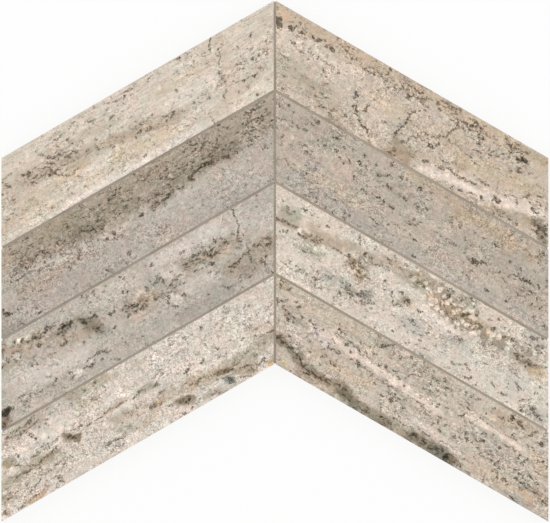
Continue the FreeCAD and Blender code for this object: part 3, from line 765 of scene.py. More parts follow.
figureRight2 = {
    "stone": (185, 174, 160),
    "levels": {"moss": -0.01, "grain": 1.12, "bedding": 0.5, "pale": -0.02},
    "washes": [
        ((194, 174, 147), 0.35, 4, (92, 35), (112, 37), (146, 38)),
        ((189, 169, 142), 0.6, 5, (98, 35), (112, 36), (122, 35), (132, 34)),
        ((190, 171, 144), 0.5, 4, (60, 41), (76, 41), (92, 40)),
        ((208, 190, 173), 0.6, 5, (24, 24), (32, 26)), ((206, 188, 168), 0.6, 4, (22, 14), (46, 12)),
        ((208, 190, 174), 0.6, 4, (-6, 24)), ((204, 188, 168), 0.5, 3.5, (4, 14), (8, 13)),
        ((178, 170, 161), 0.7, 5, (0, 6), (30, 5), (60, 4)), ((178, 170, 162), 0.6, 4, (8, 18), (14, 17)),
        ((184, 176, 166), 0.6, 5, (70, 3), (90, 3), (130, 4), (170, 3)),
        ((172, 160, 144), 0.5, 4, (0, 38), (20, 36)), ((172, 168, 152), 0.5, 3, (10, 33), (18, 32)),
        ((174, 165, 152), 0.5, 5, (60, 28), (90, 27)),
        ((176, 167, 154), 0.5, 6, (110, 24), (140, 25), (158, 24)),
        ((196, 182, 166), 0.5, 4, (50, 14), (100, 12)),
        ((200, 184, 168), 0.5, 4, (84, 33), (92, 24), (104, 30)),
        ((176, 158, 136), 0.6, 3, (142, 33), (150, 36)), ((172, 172, 162), 0.5, 2.5, (132, 7)),
        ((196, 182, 164), 0.5, 5, (122, 12), (134, 12)), ((194, 176, 158), 0.5, 4, (156, 18), (160, 10)),
    ],
    "moss": [
        (0.2, 3.5, (148, 18), (154, 18)), (0.14, 3, (12, 34), (16, 31)), (0.12, 3, (100, 18), (106, 18)),
        (0.12, 4, (128, 22), (142, 20)), (0.14, 3, (122, 30), (128, 30)), (0.1, 3, (44, 20), (64, 19)),
        (0.12, 3, (145, 39), (150, 36)),
    ],
    "worm": [
        (0.3, 5, (-20, 38), (-4, 33)), (0.35, 5, (110, 18), (130, 20)), (0.3, 5, (74, 18), (100, 19)),
    ],
    "web": [
        (0.3, 5, (50, 30), (70, 28)), (0.3, 5, (90, 29), (104, 27)), (0.3, 4, (30, 31), (42, 30)),
        (0.3, 5, (140, 12), (160, 12)),
    ],
    "pale": [
        (0.15, 3, (10, 25), (20, 23)), (0.15, 4, (76, 21), (100, 21)), (0.12, 4, (110, 20), (126, 18)),
    ],
    "specks": [
        (0.95, 1.4, (117, 16.5), (118.5, 16.5)), (0.9, 1, (149.5, 22), (86.5, 2)),
        (0.72, 0.95, (34.5, 32.5), (147, 21.5), (18, 37.5), (59.5, 36.5), (71, 36.5), (100.5, 29),
         (122, 18.5), (3.5, 40), (53.5, 20.5), (36.5, 23.5), (83, 10.5), (161.5, 6.5), (131.5, 6),
         (52.5, 34), (63.5, 19.5)),
        (0.6, 0.9, (-15, 40), (-4.5, 32), (0.5, 32.5), (13.5, 30.5), (24, 29), (30, 30), (36.5, 31.5),
         (40, 31.5), (5, 5), (20.5, 31.5), (15.5, 37), (6.5, 22.5), (51, 40.5), (43.5, 36), (57.5, 20.5),
         (75.5, 26.5), (80.5, 28.5), (77, 20), (67, 27), (107, 24.5), (57, 28), (102, 40.5), (45, 4),
         (75.5, 17), (124, 18.5), (135, 26.5), (142, 25.5), (142.5, 22), (155.5, 22), (145, 21),
         (123.5, 30), (144, 6), (157, 12), (162.5, 12.5), (169.5, 5), (121, 17.5), (147.5, 38.5), (114, 16),
         (159.5, 25)),
        (0.48, 0.85, (-10.5, 37.5), (-19.5, 37.5), (-17, 37), (-6, 37.5), (-13.5, 31.5), (-1.5, 36),
         (1.5, 37.5), (23.5, 35.5), (29, 37), (9, 31), (27, 29), (28, 27.5), (4.5, 25), (15, 23.5),
         (11.5, 12.5), (-1, 13), (20.5, 10.5), (24, 3.5), (31, 1), (37, 1), (42, 4), (39, 22), (8.5, 2),
         (34, 7), (78.5, 26.5), (72.5, 40), (65.5, 37), (79.5, 34.5), (94, 31.5), (95.5, 29.5), (94.5, 28),
         (44.5, 23.5), (46.5, 20), (44, 20), (61.5, 19.5), (65, 17), (60.5, 8), (51.5, 1.5), (72.5, 2),
         (80, 2.5), (107.5, 6.5), (91, 20), (103, 18.5), (102, 19.5), (101, 18.5), (104, 19), (66, 10.5),
         (54.5, 34), (116, 30), (110, 30), (124, 32), (126.5, 32), (125.5, 30.5), (127, 38.5), (110.5, 18),
         (112.5, 16.5), (119.5, 16.5), (138.5, 19), (132.5, 18.5), (135, 19.5), (131, 17.5), (149.5, 17.5),
         (152.5, 17.5), (154, 17), (158, 16), (138, 11.5), (148.5, 12.5), (144.5, 9), (164.5, 9.5),
         (163.5, 5.5), (115, 8), (144.5, 35), (149, 39.5), (112, 23.5)),
    ],
    "lines": [
        (0.45, 0.7, [(-18, 30.5), (-15, 31), (-12.5, 32), (-10, 33)]),
        (0.42, 0.65, [(-15, 40), (-13.5, 39), (-12, 38.5), (-10.5, 37.5)], [(-5, 32), (-2, 32),
         (1.5, 32.5)], [(-9, 28.5), (-9.5, 27)], [(-0.5, 13), (0.5, 12), (2, 11), (4, 10.5), (6.5, 10),
         (13, 10)], [(55, 17.5), (57, 18), (59, 18.5)], [(151, 21.5), (153, 21.5)], [(125.5, 41),
         (127, 41.5), (129, 41.5)], [(117, 14), (116, 13)], [(116.5, 8), (118.5, 7.5), (119.5, 7)]),
        (0.42, 0.55, [(-10, 35.5), (-9, 33.5), (-7.5, 32)], [(3, 1.5), (4, 0.5)], [(67, 12), (70, 12.5),
         (73, 12), (77, 12.5), (80, 11.5)]), (0.66, 0.8, [(2, 40), (3.5, 40.5), (5, 39.5)]),
        (0.6, 0.8, [(-1, 32.5), (1, 33)], [(19.5, 31.5), (21.5, 32)], [(66, 27), (68, 27)]),
        (0.65, 0.8, [(17, 37), (18.5, 37.5)]),
        (0.5, 0.8, [(23, 35.5), (24, 35)], [(23.5, 3), (25, 4)], [(60, 19), (61.5, 19.5), (63, 20),
         (64, 19)]), (0.48, 0.65, [(28, 36.5), (29.5, 37.5)], [(130, 17), (131.5, 17.5)]),
        (0.5, 0.65, [(35, 37.5), (36, 36)], [(45, 20.5), (44, 19.5), (43.5, 20.5)], [(116, 30),
         (115.5, 30.5)], [(144, 9), (145.5, 10), (144.5, 8.5)]), (0.65, 0.85, [(34, 32), (36, 32)]),
        (0.6, 0.75, [(37.5, 31.5), (39, 32)]),
        (0.46, 0.75, [(-9, 25), (-9, 23.5), (-9.5, 21.5)], [(33, 7), (34, 7.5), (35, 6.5)], [(140.5, 35.5),
         (143, 35), (144.5, 35), (146, 36), (147, 36.5)]),
        (0.42, 0.75, [(1, 24.5), (3, 24), (4, 25.5)], [(148.5, 36), (149, 34), (148.5, 33)], [(150.5, 33),
         (151.5, 32), (153, 31)], [(146, 4), (147, 3), (148.5, 4)]),
        (0.55, 0.9, [(51, 41.5), (51.5, 39.5)]),
        (0.46, 0.65, [(62, 37.5), (63.5, 37)], [(121, 22.5), (122, 21.5)]),
        (0.65, 1, [(70.5, 36.5), (72.5, 36)]), (0.5, 0.9, [(101, 41.5), (102, 40)]),
        (0.52, 0.75, [(46.5, 31), (49, 32), (51, 33), (52, 34)]),
        (0.56, 0.8, [(54, 29.5), (55, 28.5), (57, 28), (58.5, 27.5)]), (0.46, 1, [(95, 30), (96, 29.5)]),
        (0.66, 0.75, [(99.5, 29), (101.5, 29)]),
        (0.5, 0.75, [(74.5, 16.5), (76.5, 16.5), (78.5, 17.5), (80, 18.5)]),
        (0.52, 0.65, [(55, 9), (57, 9), (59, 8.5), (60.5, 8), (61.5, 7.5)], [(126.5, 38.5), (127.5, 39)]),
        (0.72, 0.75, [(86, 2.5), (87.5, 2)]), (0.42, 0.7, [(72, 1), (73, 2.5)]),
        (0.82, 0.8, [(145.5, 21), (147.5, 21.5), (149, 22), (150.5, 21.5)]),
        (0.52, 0.8, [(146, 40), (147, 38.5), (148.5, 39.5), (149, 38)]),
        (0.42, 0.9, [(161.5, 21), (162.5, 20)]), (0.45, 1, [(157, 28), (158, 26.5)]),
    ],
    "grains": [
        (0.5, 1.1, (6, 14), (-4.5, 25), (17, 26.5), (5.5, 24), (81, 24), (88, 22), (98, 20), (113, 19),
         (119, 20), (121, 8.5), (56.5, 6.5), (34, 30.5), (127, 26), (143, 18)),
    ],
    "streaks": [
        (0.4, 0.6, [(0, 19.5), (6, 20)], [(62, 9.5), (68, 9)], [(100, 3), (112, 3.5)], [(140, 1.5),
         (156, 2)]),
    ],
}
makeTile(4, "tile_right_2", figureRight2)

figureLeft3 = {
    "stone": (193, 184, 172),
    "levels": {"moss": -0.03, "web": 0.15, "grain": 0.8, "bedding": 0.2, "worm": 0.12, "pale": -0.02},
    "washes": [
        ((84, 76, 60), 0.9, 2.6, (4, 8), (8, 8)), ((128, 108, 88), 0.8, 3.4, (2, 2), (7, 4)),
        ((180, 160, 138), 0.7, 4, (24, 39), (30, 36)), ((186, 170, 150), 0.7, 5, (32, 33), (44, 35)),
        ((138, 128, 108), 0.9, 5.5, (70, 29), (73, 24), (75, 21)),
        ((182, 164, 142), 0.6, 4, (52, 26), (66, 24)), ((204, 192, 180), 0.6, 5, (26, 16), (60, 15)),
        ((210, 192, 174), 0.7, 3, (104, 28), (107, 27)), ((206, 186, 168), 0.6, 4, (96, 17), (108, 23)),
        ((168, 152, 130), 0.5, 5, (134, 28), (150, 26), (164, 27)),
        ((162, 148, 128), 0.6, 6, (154, 12), (168, 14), (182, 17)),
        ((152, 138, 122), 0.6, 4, (160, 9), (168, 8)),
        ((166, 160, 150), 0.7, 6, (120, 6), (134, 5), (150, 5)),
        ((202, 198, 186), 0.8, 2.5, (139, 23), (145, 23)),
        ((210, 190, 172), 0.8, 2.5, (154, 23), (161, 24)), ((204, 195, 184), 0.7, 6, (120, 37), (165, 37)),
        ((206, 198, 188), 0.7, 7, (176, 34), (186, 26)), ((202, 194, 182), 0.6, 6, (14, 20), (30, 8)),
        ((198, 194, 184), 0.7, 4, (120, 15), (124, 14)), ((192, 190, 178), 0.6, 4, (72, 17), (86, 15)),
        ((170, 162, 140), 0.5, 3, (17, 29), (23, 29)), ((176, 164, 148), 0.5, 3, (28, 7), (40, 6)),
        ((196, 198, 190), 0.6, 2.5, (27.5, 31.5)), ((204, 186, 170), 0.5, 3, (80, 24)),
        ((190, 194, 184), 0.5, 2.5, (53, 39)), ((218, 208, 196), 0.8, 4, (123, 30), (129, 26)),
        ((216, 210, 198), 0.8, 4, (119, 16), (123, 14)), ((220, 208, 194), 0.8, 3, (103, 28), (107, 28)),
        ((214, 205, 194), 0.7, 6, (22, 22), (44, 15), (62, 14)),
        ((212, 203, 191), 0.6, 7, (86, 36), (104, 36)), ((214, 205, 195), 0.6, 6, (122, 37), (160, 37)),
        ((212, 204, 194), 0.7, 4, (128, 18), (142, 16)), ((212, 206, 190), 0.9, 2.2, (28, 39.5)),
        ((210, 204, 186), 0.9, 2.2, (33, 38.5)), ((210, 204, 188), 0.9, 2.2, (38.5, 37.5)),
        ((214, 206, 198), 0.8, 2.4, (51, 7), (55, 6.5)), ((206, 186, 160), 0.6, 3, (105, 23), (112, 22)),
        ((174, 166, 152), 0.5, 4, (92, 24), (102, 21)), ((170, 166, 152), 0.5, 3, (112, 28), (118, 27)),
        ((176, 168, 152), 0.5, 3.5, (55, 31), (64, 31)), ((178, 174, 162), 0.5, 5, (86, 5), (112, 5)),
    ],
    "moss": [
        (0.24, 6, (24, 34), (50, 34), (64, 31), (78, 26)),
        (0.23, 6, (92, 22), (120, 22), (140, 28), (168, 26)), (0.22, 3.5, (69, 29), (77, 29)),
        (0.2, 3.5, (72, 23), (76, 20)), (0.16, 3, (114, 28), (119, 27)), (0.14, 4, (134, 29), (150, 27)),
        (0.12, 4, (148, 6), (150, 5)), (0.14, 3, (172, 18), (182, 17)), (0.14, 3, (55, 31), (63, 32)),
        (0.2, 3, (3, 2), (7, 6)),
    ],
    "web": [
        (0.5, 6, (84, 30), (104, 20)), (0.45, 6, (134, 26), (164, 26)), (0.35, 6, (36, 28), (44, 22)),
        (0.35, 6, (104, 12), (118, 14)),
    ],
    "cell": [
        (0.5, 6, (44, 32), (62, 29)), (0.5, 6, (96, 26), (124, 18)), (0.4, 6, (134, 26), (160, 25)),
        (0.5, 3, (32, 38.5), (39, 37.5)), (0.3, 4, (104, 26), (112, 27)),
    ],
    "pale": [(0.15, 5, (20, 15), (60, 14)), (0.18, 4, (120, 37), (160, 38))],
    "specks": [
        (0.95, 1.4, (6, 8), (7.5, 7.5), (9, 8), (6, 6.5)),
        (0.9, 1, (41.5, 30.5), (84.5, 25.5), (86.5, 25.5), (35.5, 37.5), (41, 35.5)),
        (0.78, 1.05, (70, 28.5), (77, 29), (117.5, 18), (58.5, 33.5), (96.5, 32.5), (71, 9.5), (125, 14.5),
         (155, 32), (166.5, 25.5), (74.5, 22), (54, 30.5), (10.5, 8), (98.5, 31.5), (58, 32), (179.5, 15.5),
         (147.5, 21.5), (149, 25.5), (62, 6)),
        (0.65, 0.95, (30.5, 38.5), (35.5, 22), (50.5, 37), (52, 35.5), (48.5, 35.5), (55.5, 30), (61.5, 31),
         (18, 30), (40.5, 9), (75, 19), (94, 25), (94.5, 24.5), (93, 19.5), (97, 23.5), (102, 19.5),
         (83, 18), (117, 28.5), (115.5, 15), (138.5, 22.5), (144.5, 30), (139.5, 30), (157.5, 14.5),
         (168, 17), (173, 18.5), (175.5, 17.5), (175, 10), (148.5, 5), (172.5, 8), (111, 20), (159.5, 28.5),
         (153, 25.5), (87.5, 38.5), (63, 32.5), (3, 2.5), (22.5, 37.5), (118, 38), (76, 42)),
        (0.5, 0.9, (25, 40), (42, 36.5), (39, 34.5), (44.5, 34), (53, 36), (54.5, 36.5), (49.5, 36.5),
         (19.5, 30), (22, 30.5), (46, 27), (35.5, 25.5), (33, 22.5), (53, 24), (57, 30.5), (60, 31),
         (56.5, 31.5), (63.5, 33.5), (64.5, 19.5), (23.5, 9), (48.5, 5.5), (49.5, 7.5), (12, 8), (6, 3),
         (7, 1.5), (2, 1), (67.5, 26), (76, 30), (70, 30.5), (75, 21), (73.5, 21.5), (68.5, 20.5),
         (76.5, 25), (78.5, 37), (88, 32), (89.5, 32), (92.5, 19.5), (94, 20), (109, 28.5), (109, 26),
         (119, 27), (118.5, 30), (117, 30.5), (115, 16), (119.5, 19.5), (128.5, 20.5), (127, 20.5),
         (125, 24), (67.5, 10), (68, 6), (76, 1.5), (94, 1), (137.5, 29), (141, 28), (150.5, 25.5),
         (148, 27), (158.5, 31), (165.5, 30), (165.5, 24.5), (167.5, 24.5), (163.5, 22.5), (144, 18),
         (155, 15), (160, 14.5), (177.5, 19), (182, 17.5), (177, 15.5), (173, 5), (155.5, 1.5), (147, 7),
         (137, 7.5), (82, 40), (100.5, 39)),
    ],
    "lines": [
        (0.42, 0.7, [(31, 36.5), (33, 36), (35, 36)], [(58.5, 29), (57, 28.5)]),
        (0.42, 0.75, [(27.5, 37), (29.5, 37)], [(23, 38), (20.5, 33.5)]),
        (0.56, 0.9, [(42, 34.5), (44, 33.5), (45.5, 34.5)], [(138.5, 30.5), (141, 30.5), (143, 30)]),
        (0.45, 0.7, [(38.5, 35), (36.5, 36)]),
        (0.48, 0.65, [(60.5, 40.5), (62.5, 41)], [(26, 8), (30, 7.5), (34, 8), (37, 8), (39, 8.5),
         (40, 8.5)]),
        (0.5, 0.7, [(25.5, 31), (25.5, 33), (27, 34), (29, 34), (30.5, 32.5), (30.5, 30.5), (29, 29),
         (27, 28.5), (25.5, 29.5), (25.5, 31)]), (0.6, 0.7, [(26, 29), (28, 28.5)]),
        (0.5, 0.75, [(34.5, 25.5), (36.5, 26)], [(63, 6), (64, 7), (64.5, 8)]),
        (0.45, 0.75, [(33, 22.5), (35.5, 22)]),
        (0.6, 0.9, [(52.5, 24), (54, 24), (56, 24.5), (55.5, 25.5)], [(147, 23), (147.5, 21.5),
         (148.5, 21)], [(172, 18.5), (173, 18.5), (174, 17.5), (176, 18)]),
        (0.45, 1, [(17, 4.5), (17.5, 6), (19, 7), (20.5, 7), (21.5, 6)]),
        (0.52, 0.75, [(17.5, 10.5), (20, 10.5), (22, 10), (24, 9), (25, 9.5)], [(60, 9.5), (62, 10),
         (63.5, 10), (65, 10), (68, 10.5)], [(169, 21), (169, 18)]),
        (0.56, 0.85, [(49, 8.5), (49.5, 7.5), (48.5, 6)]),
        (0.42, 0.65, [(48, 4.5), (48.5, 4)], [(112.5, 25), (110.5, 24.5)], [(117, 39.5), (118, 38.5),
         (119.5, 36.5)], [(167, 22.5), (166, 21.5), (165, 20.5)]),
        (0.62, 0.75, [(57, 6.5), (58, 7), (60, 6.5)], [(161, 15.5), (163, 16), (165, 17), (168, 17),
         (170, 17)]), (0.75, 0.8, [(60.5, 6), (63, 6)], [(97.5, 31.5), (99.5, 31.5)]),
        (0.6, 1, [(69, 31), (70.5, 30)], [(110, 20), (112.5, 20)]),
        (0.6, 0.75, [(72.5, 29.5), (75, 29.5)], [(87, 39), (87.5, 38)]),
        (0.5, 0.8, [(77, 23), (78, 22)], [(181.5, 18), (183, 17.5)], [(172, 3), (173.5, 1.5), (174, 0.5)]),
        (0.95, 1.05, [(84, 25.5), (87, 25.5)]),
        (0.46, 0.9, [(82, 40.5), (83, 41), (84.5, 41.5)], [(79, 18), (80.5, 17), (80.5, 15.5)]),
        (0.56, 0.75, [(99.5, 41), (100, 40), (100.5, 39), (101, 38)]),
        (0.66, 0.8, [(97, 24), (97.5, 23), (99, 22.5), (100.5, 22.5)], [(97.5, 19.5), (99.5, 19.5),
         (101.5, 19.5), (103, 20.5)], [(137, 23), (138.5, 22.5)]), (0.46, 0.65, [(93, 22), (93.5, 21)]),
        (0.5, 0.9, [(108.5, 26.5), (109, 25.5), (110, 27.5)]),
        (0.5, 1, [(114, 28), (116, 28.5), (117, 29.5), (118.5, 30), (119.5, 29)]),
        (0.6, 0.95, [(118.5, 26.5), (119.5, 25.5)]),
        (0.56, 0.8, [(123.5, 24.5), (125, 24), (126, 24)], [(160, 28.5), (161, 27)], [(172.5, 10),
         (172.5, 8.5), (173, 7), (172, 5.5)]),
        (0.42, 0.8, [(125, 29.5), (126.5, 28.5)], [(103, 12), (104.5, 11), (105.5, 10.5)]),
        (0.8, 1, [(117, 18), (118, 17)]),
        (0.52, 0.85, [(117, 16), (116.5, 14), (117, 12), (118.5, 10.5)]),
        (0.52, 0.7, [(126, 15), (124.5, 14)]),
        (0.62, 0.9, [(67, 10), (69, 10.5), (70, 10), (71.5, 9), (72.5, 8), (74, 7.5)]),
        (0.52, 0.65, [(72, 4), (73.5, 3), (75, 2.5), (76.5, 1)]),
        (0.42, 0.6, [(115, 40), (114.5, 38)], [(140, 22), (144, 21.5), (146.5, 22.5)]),
        (0.55, 0.75, [(172, 42.5), (172, 40), (171.5, 37.5), (171.5, 35), (171, 33), (170, 31.5), (169, 30),
         (167, 27)]), (0.46, 0.7, [(163, 23), (164.5, 22)]), (0.6, 0.8, [(152.5, 26), (153.5, 25.5)]),
        (0.7, 0.8, [(154.5, 15), (157, 15), (158.5, 14.5), (160, 15)]),
        (0.75, 0.9, [(178.5, 15.5), (180, 15.5), (181.5, 15.5)]),
        (0.52, 0.8, [(168.5, 16.5), (168, 14.5), (167.5, 13), (167, 11.5)]),
        (0.46, 0.8, [(160.5, 4.5), (162.5, 5), (164, 5.5)]),
    ],
    "grains": [
        (0.6, 1.6, (33, 38.5), (38, 37.5)),
        (0.5, 1.4, (28, 31), (105.5, 27.5), (111.5, 26.5), (62, 7.5), (54, 7), (35, 33)),
    ],
    "streaks": [
        (0.45, 0.55, [(171.5, 31.5), (170, 29), (168.5, 27.5)]), (0.4, 0.8, [(20, 2), (34, 1.5)]),
        (0.35, 0.8, [(176, 22), (182, 21)], [(160, 19), (166, 19.5)]),
    ],
}
makeTile(5, "tile_left_3", figureLeft3)

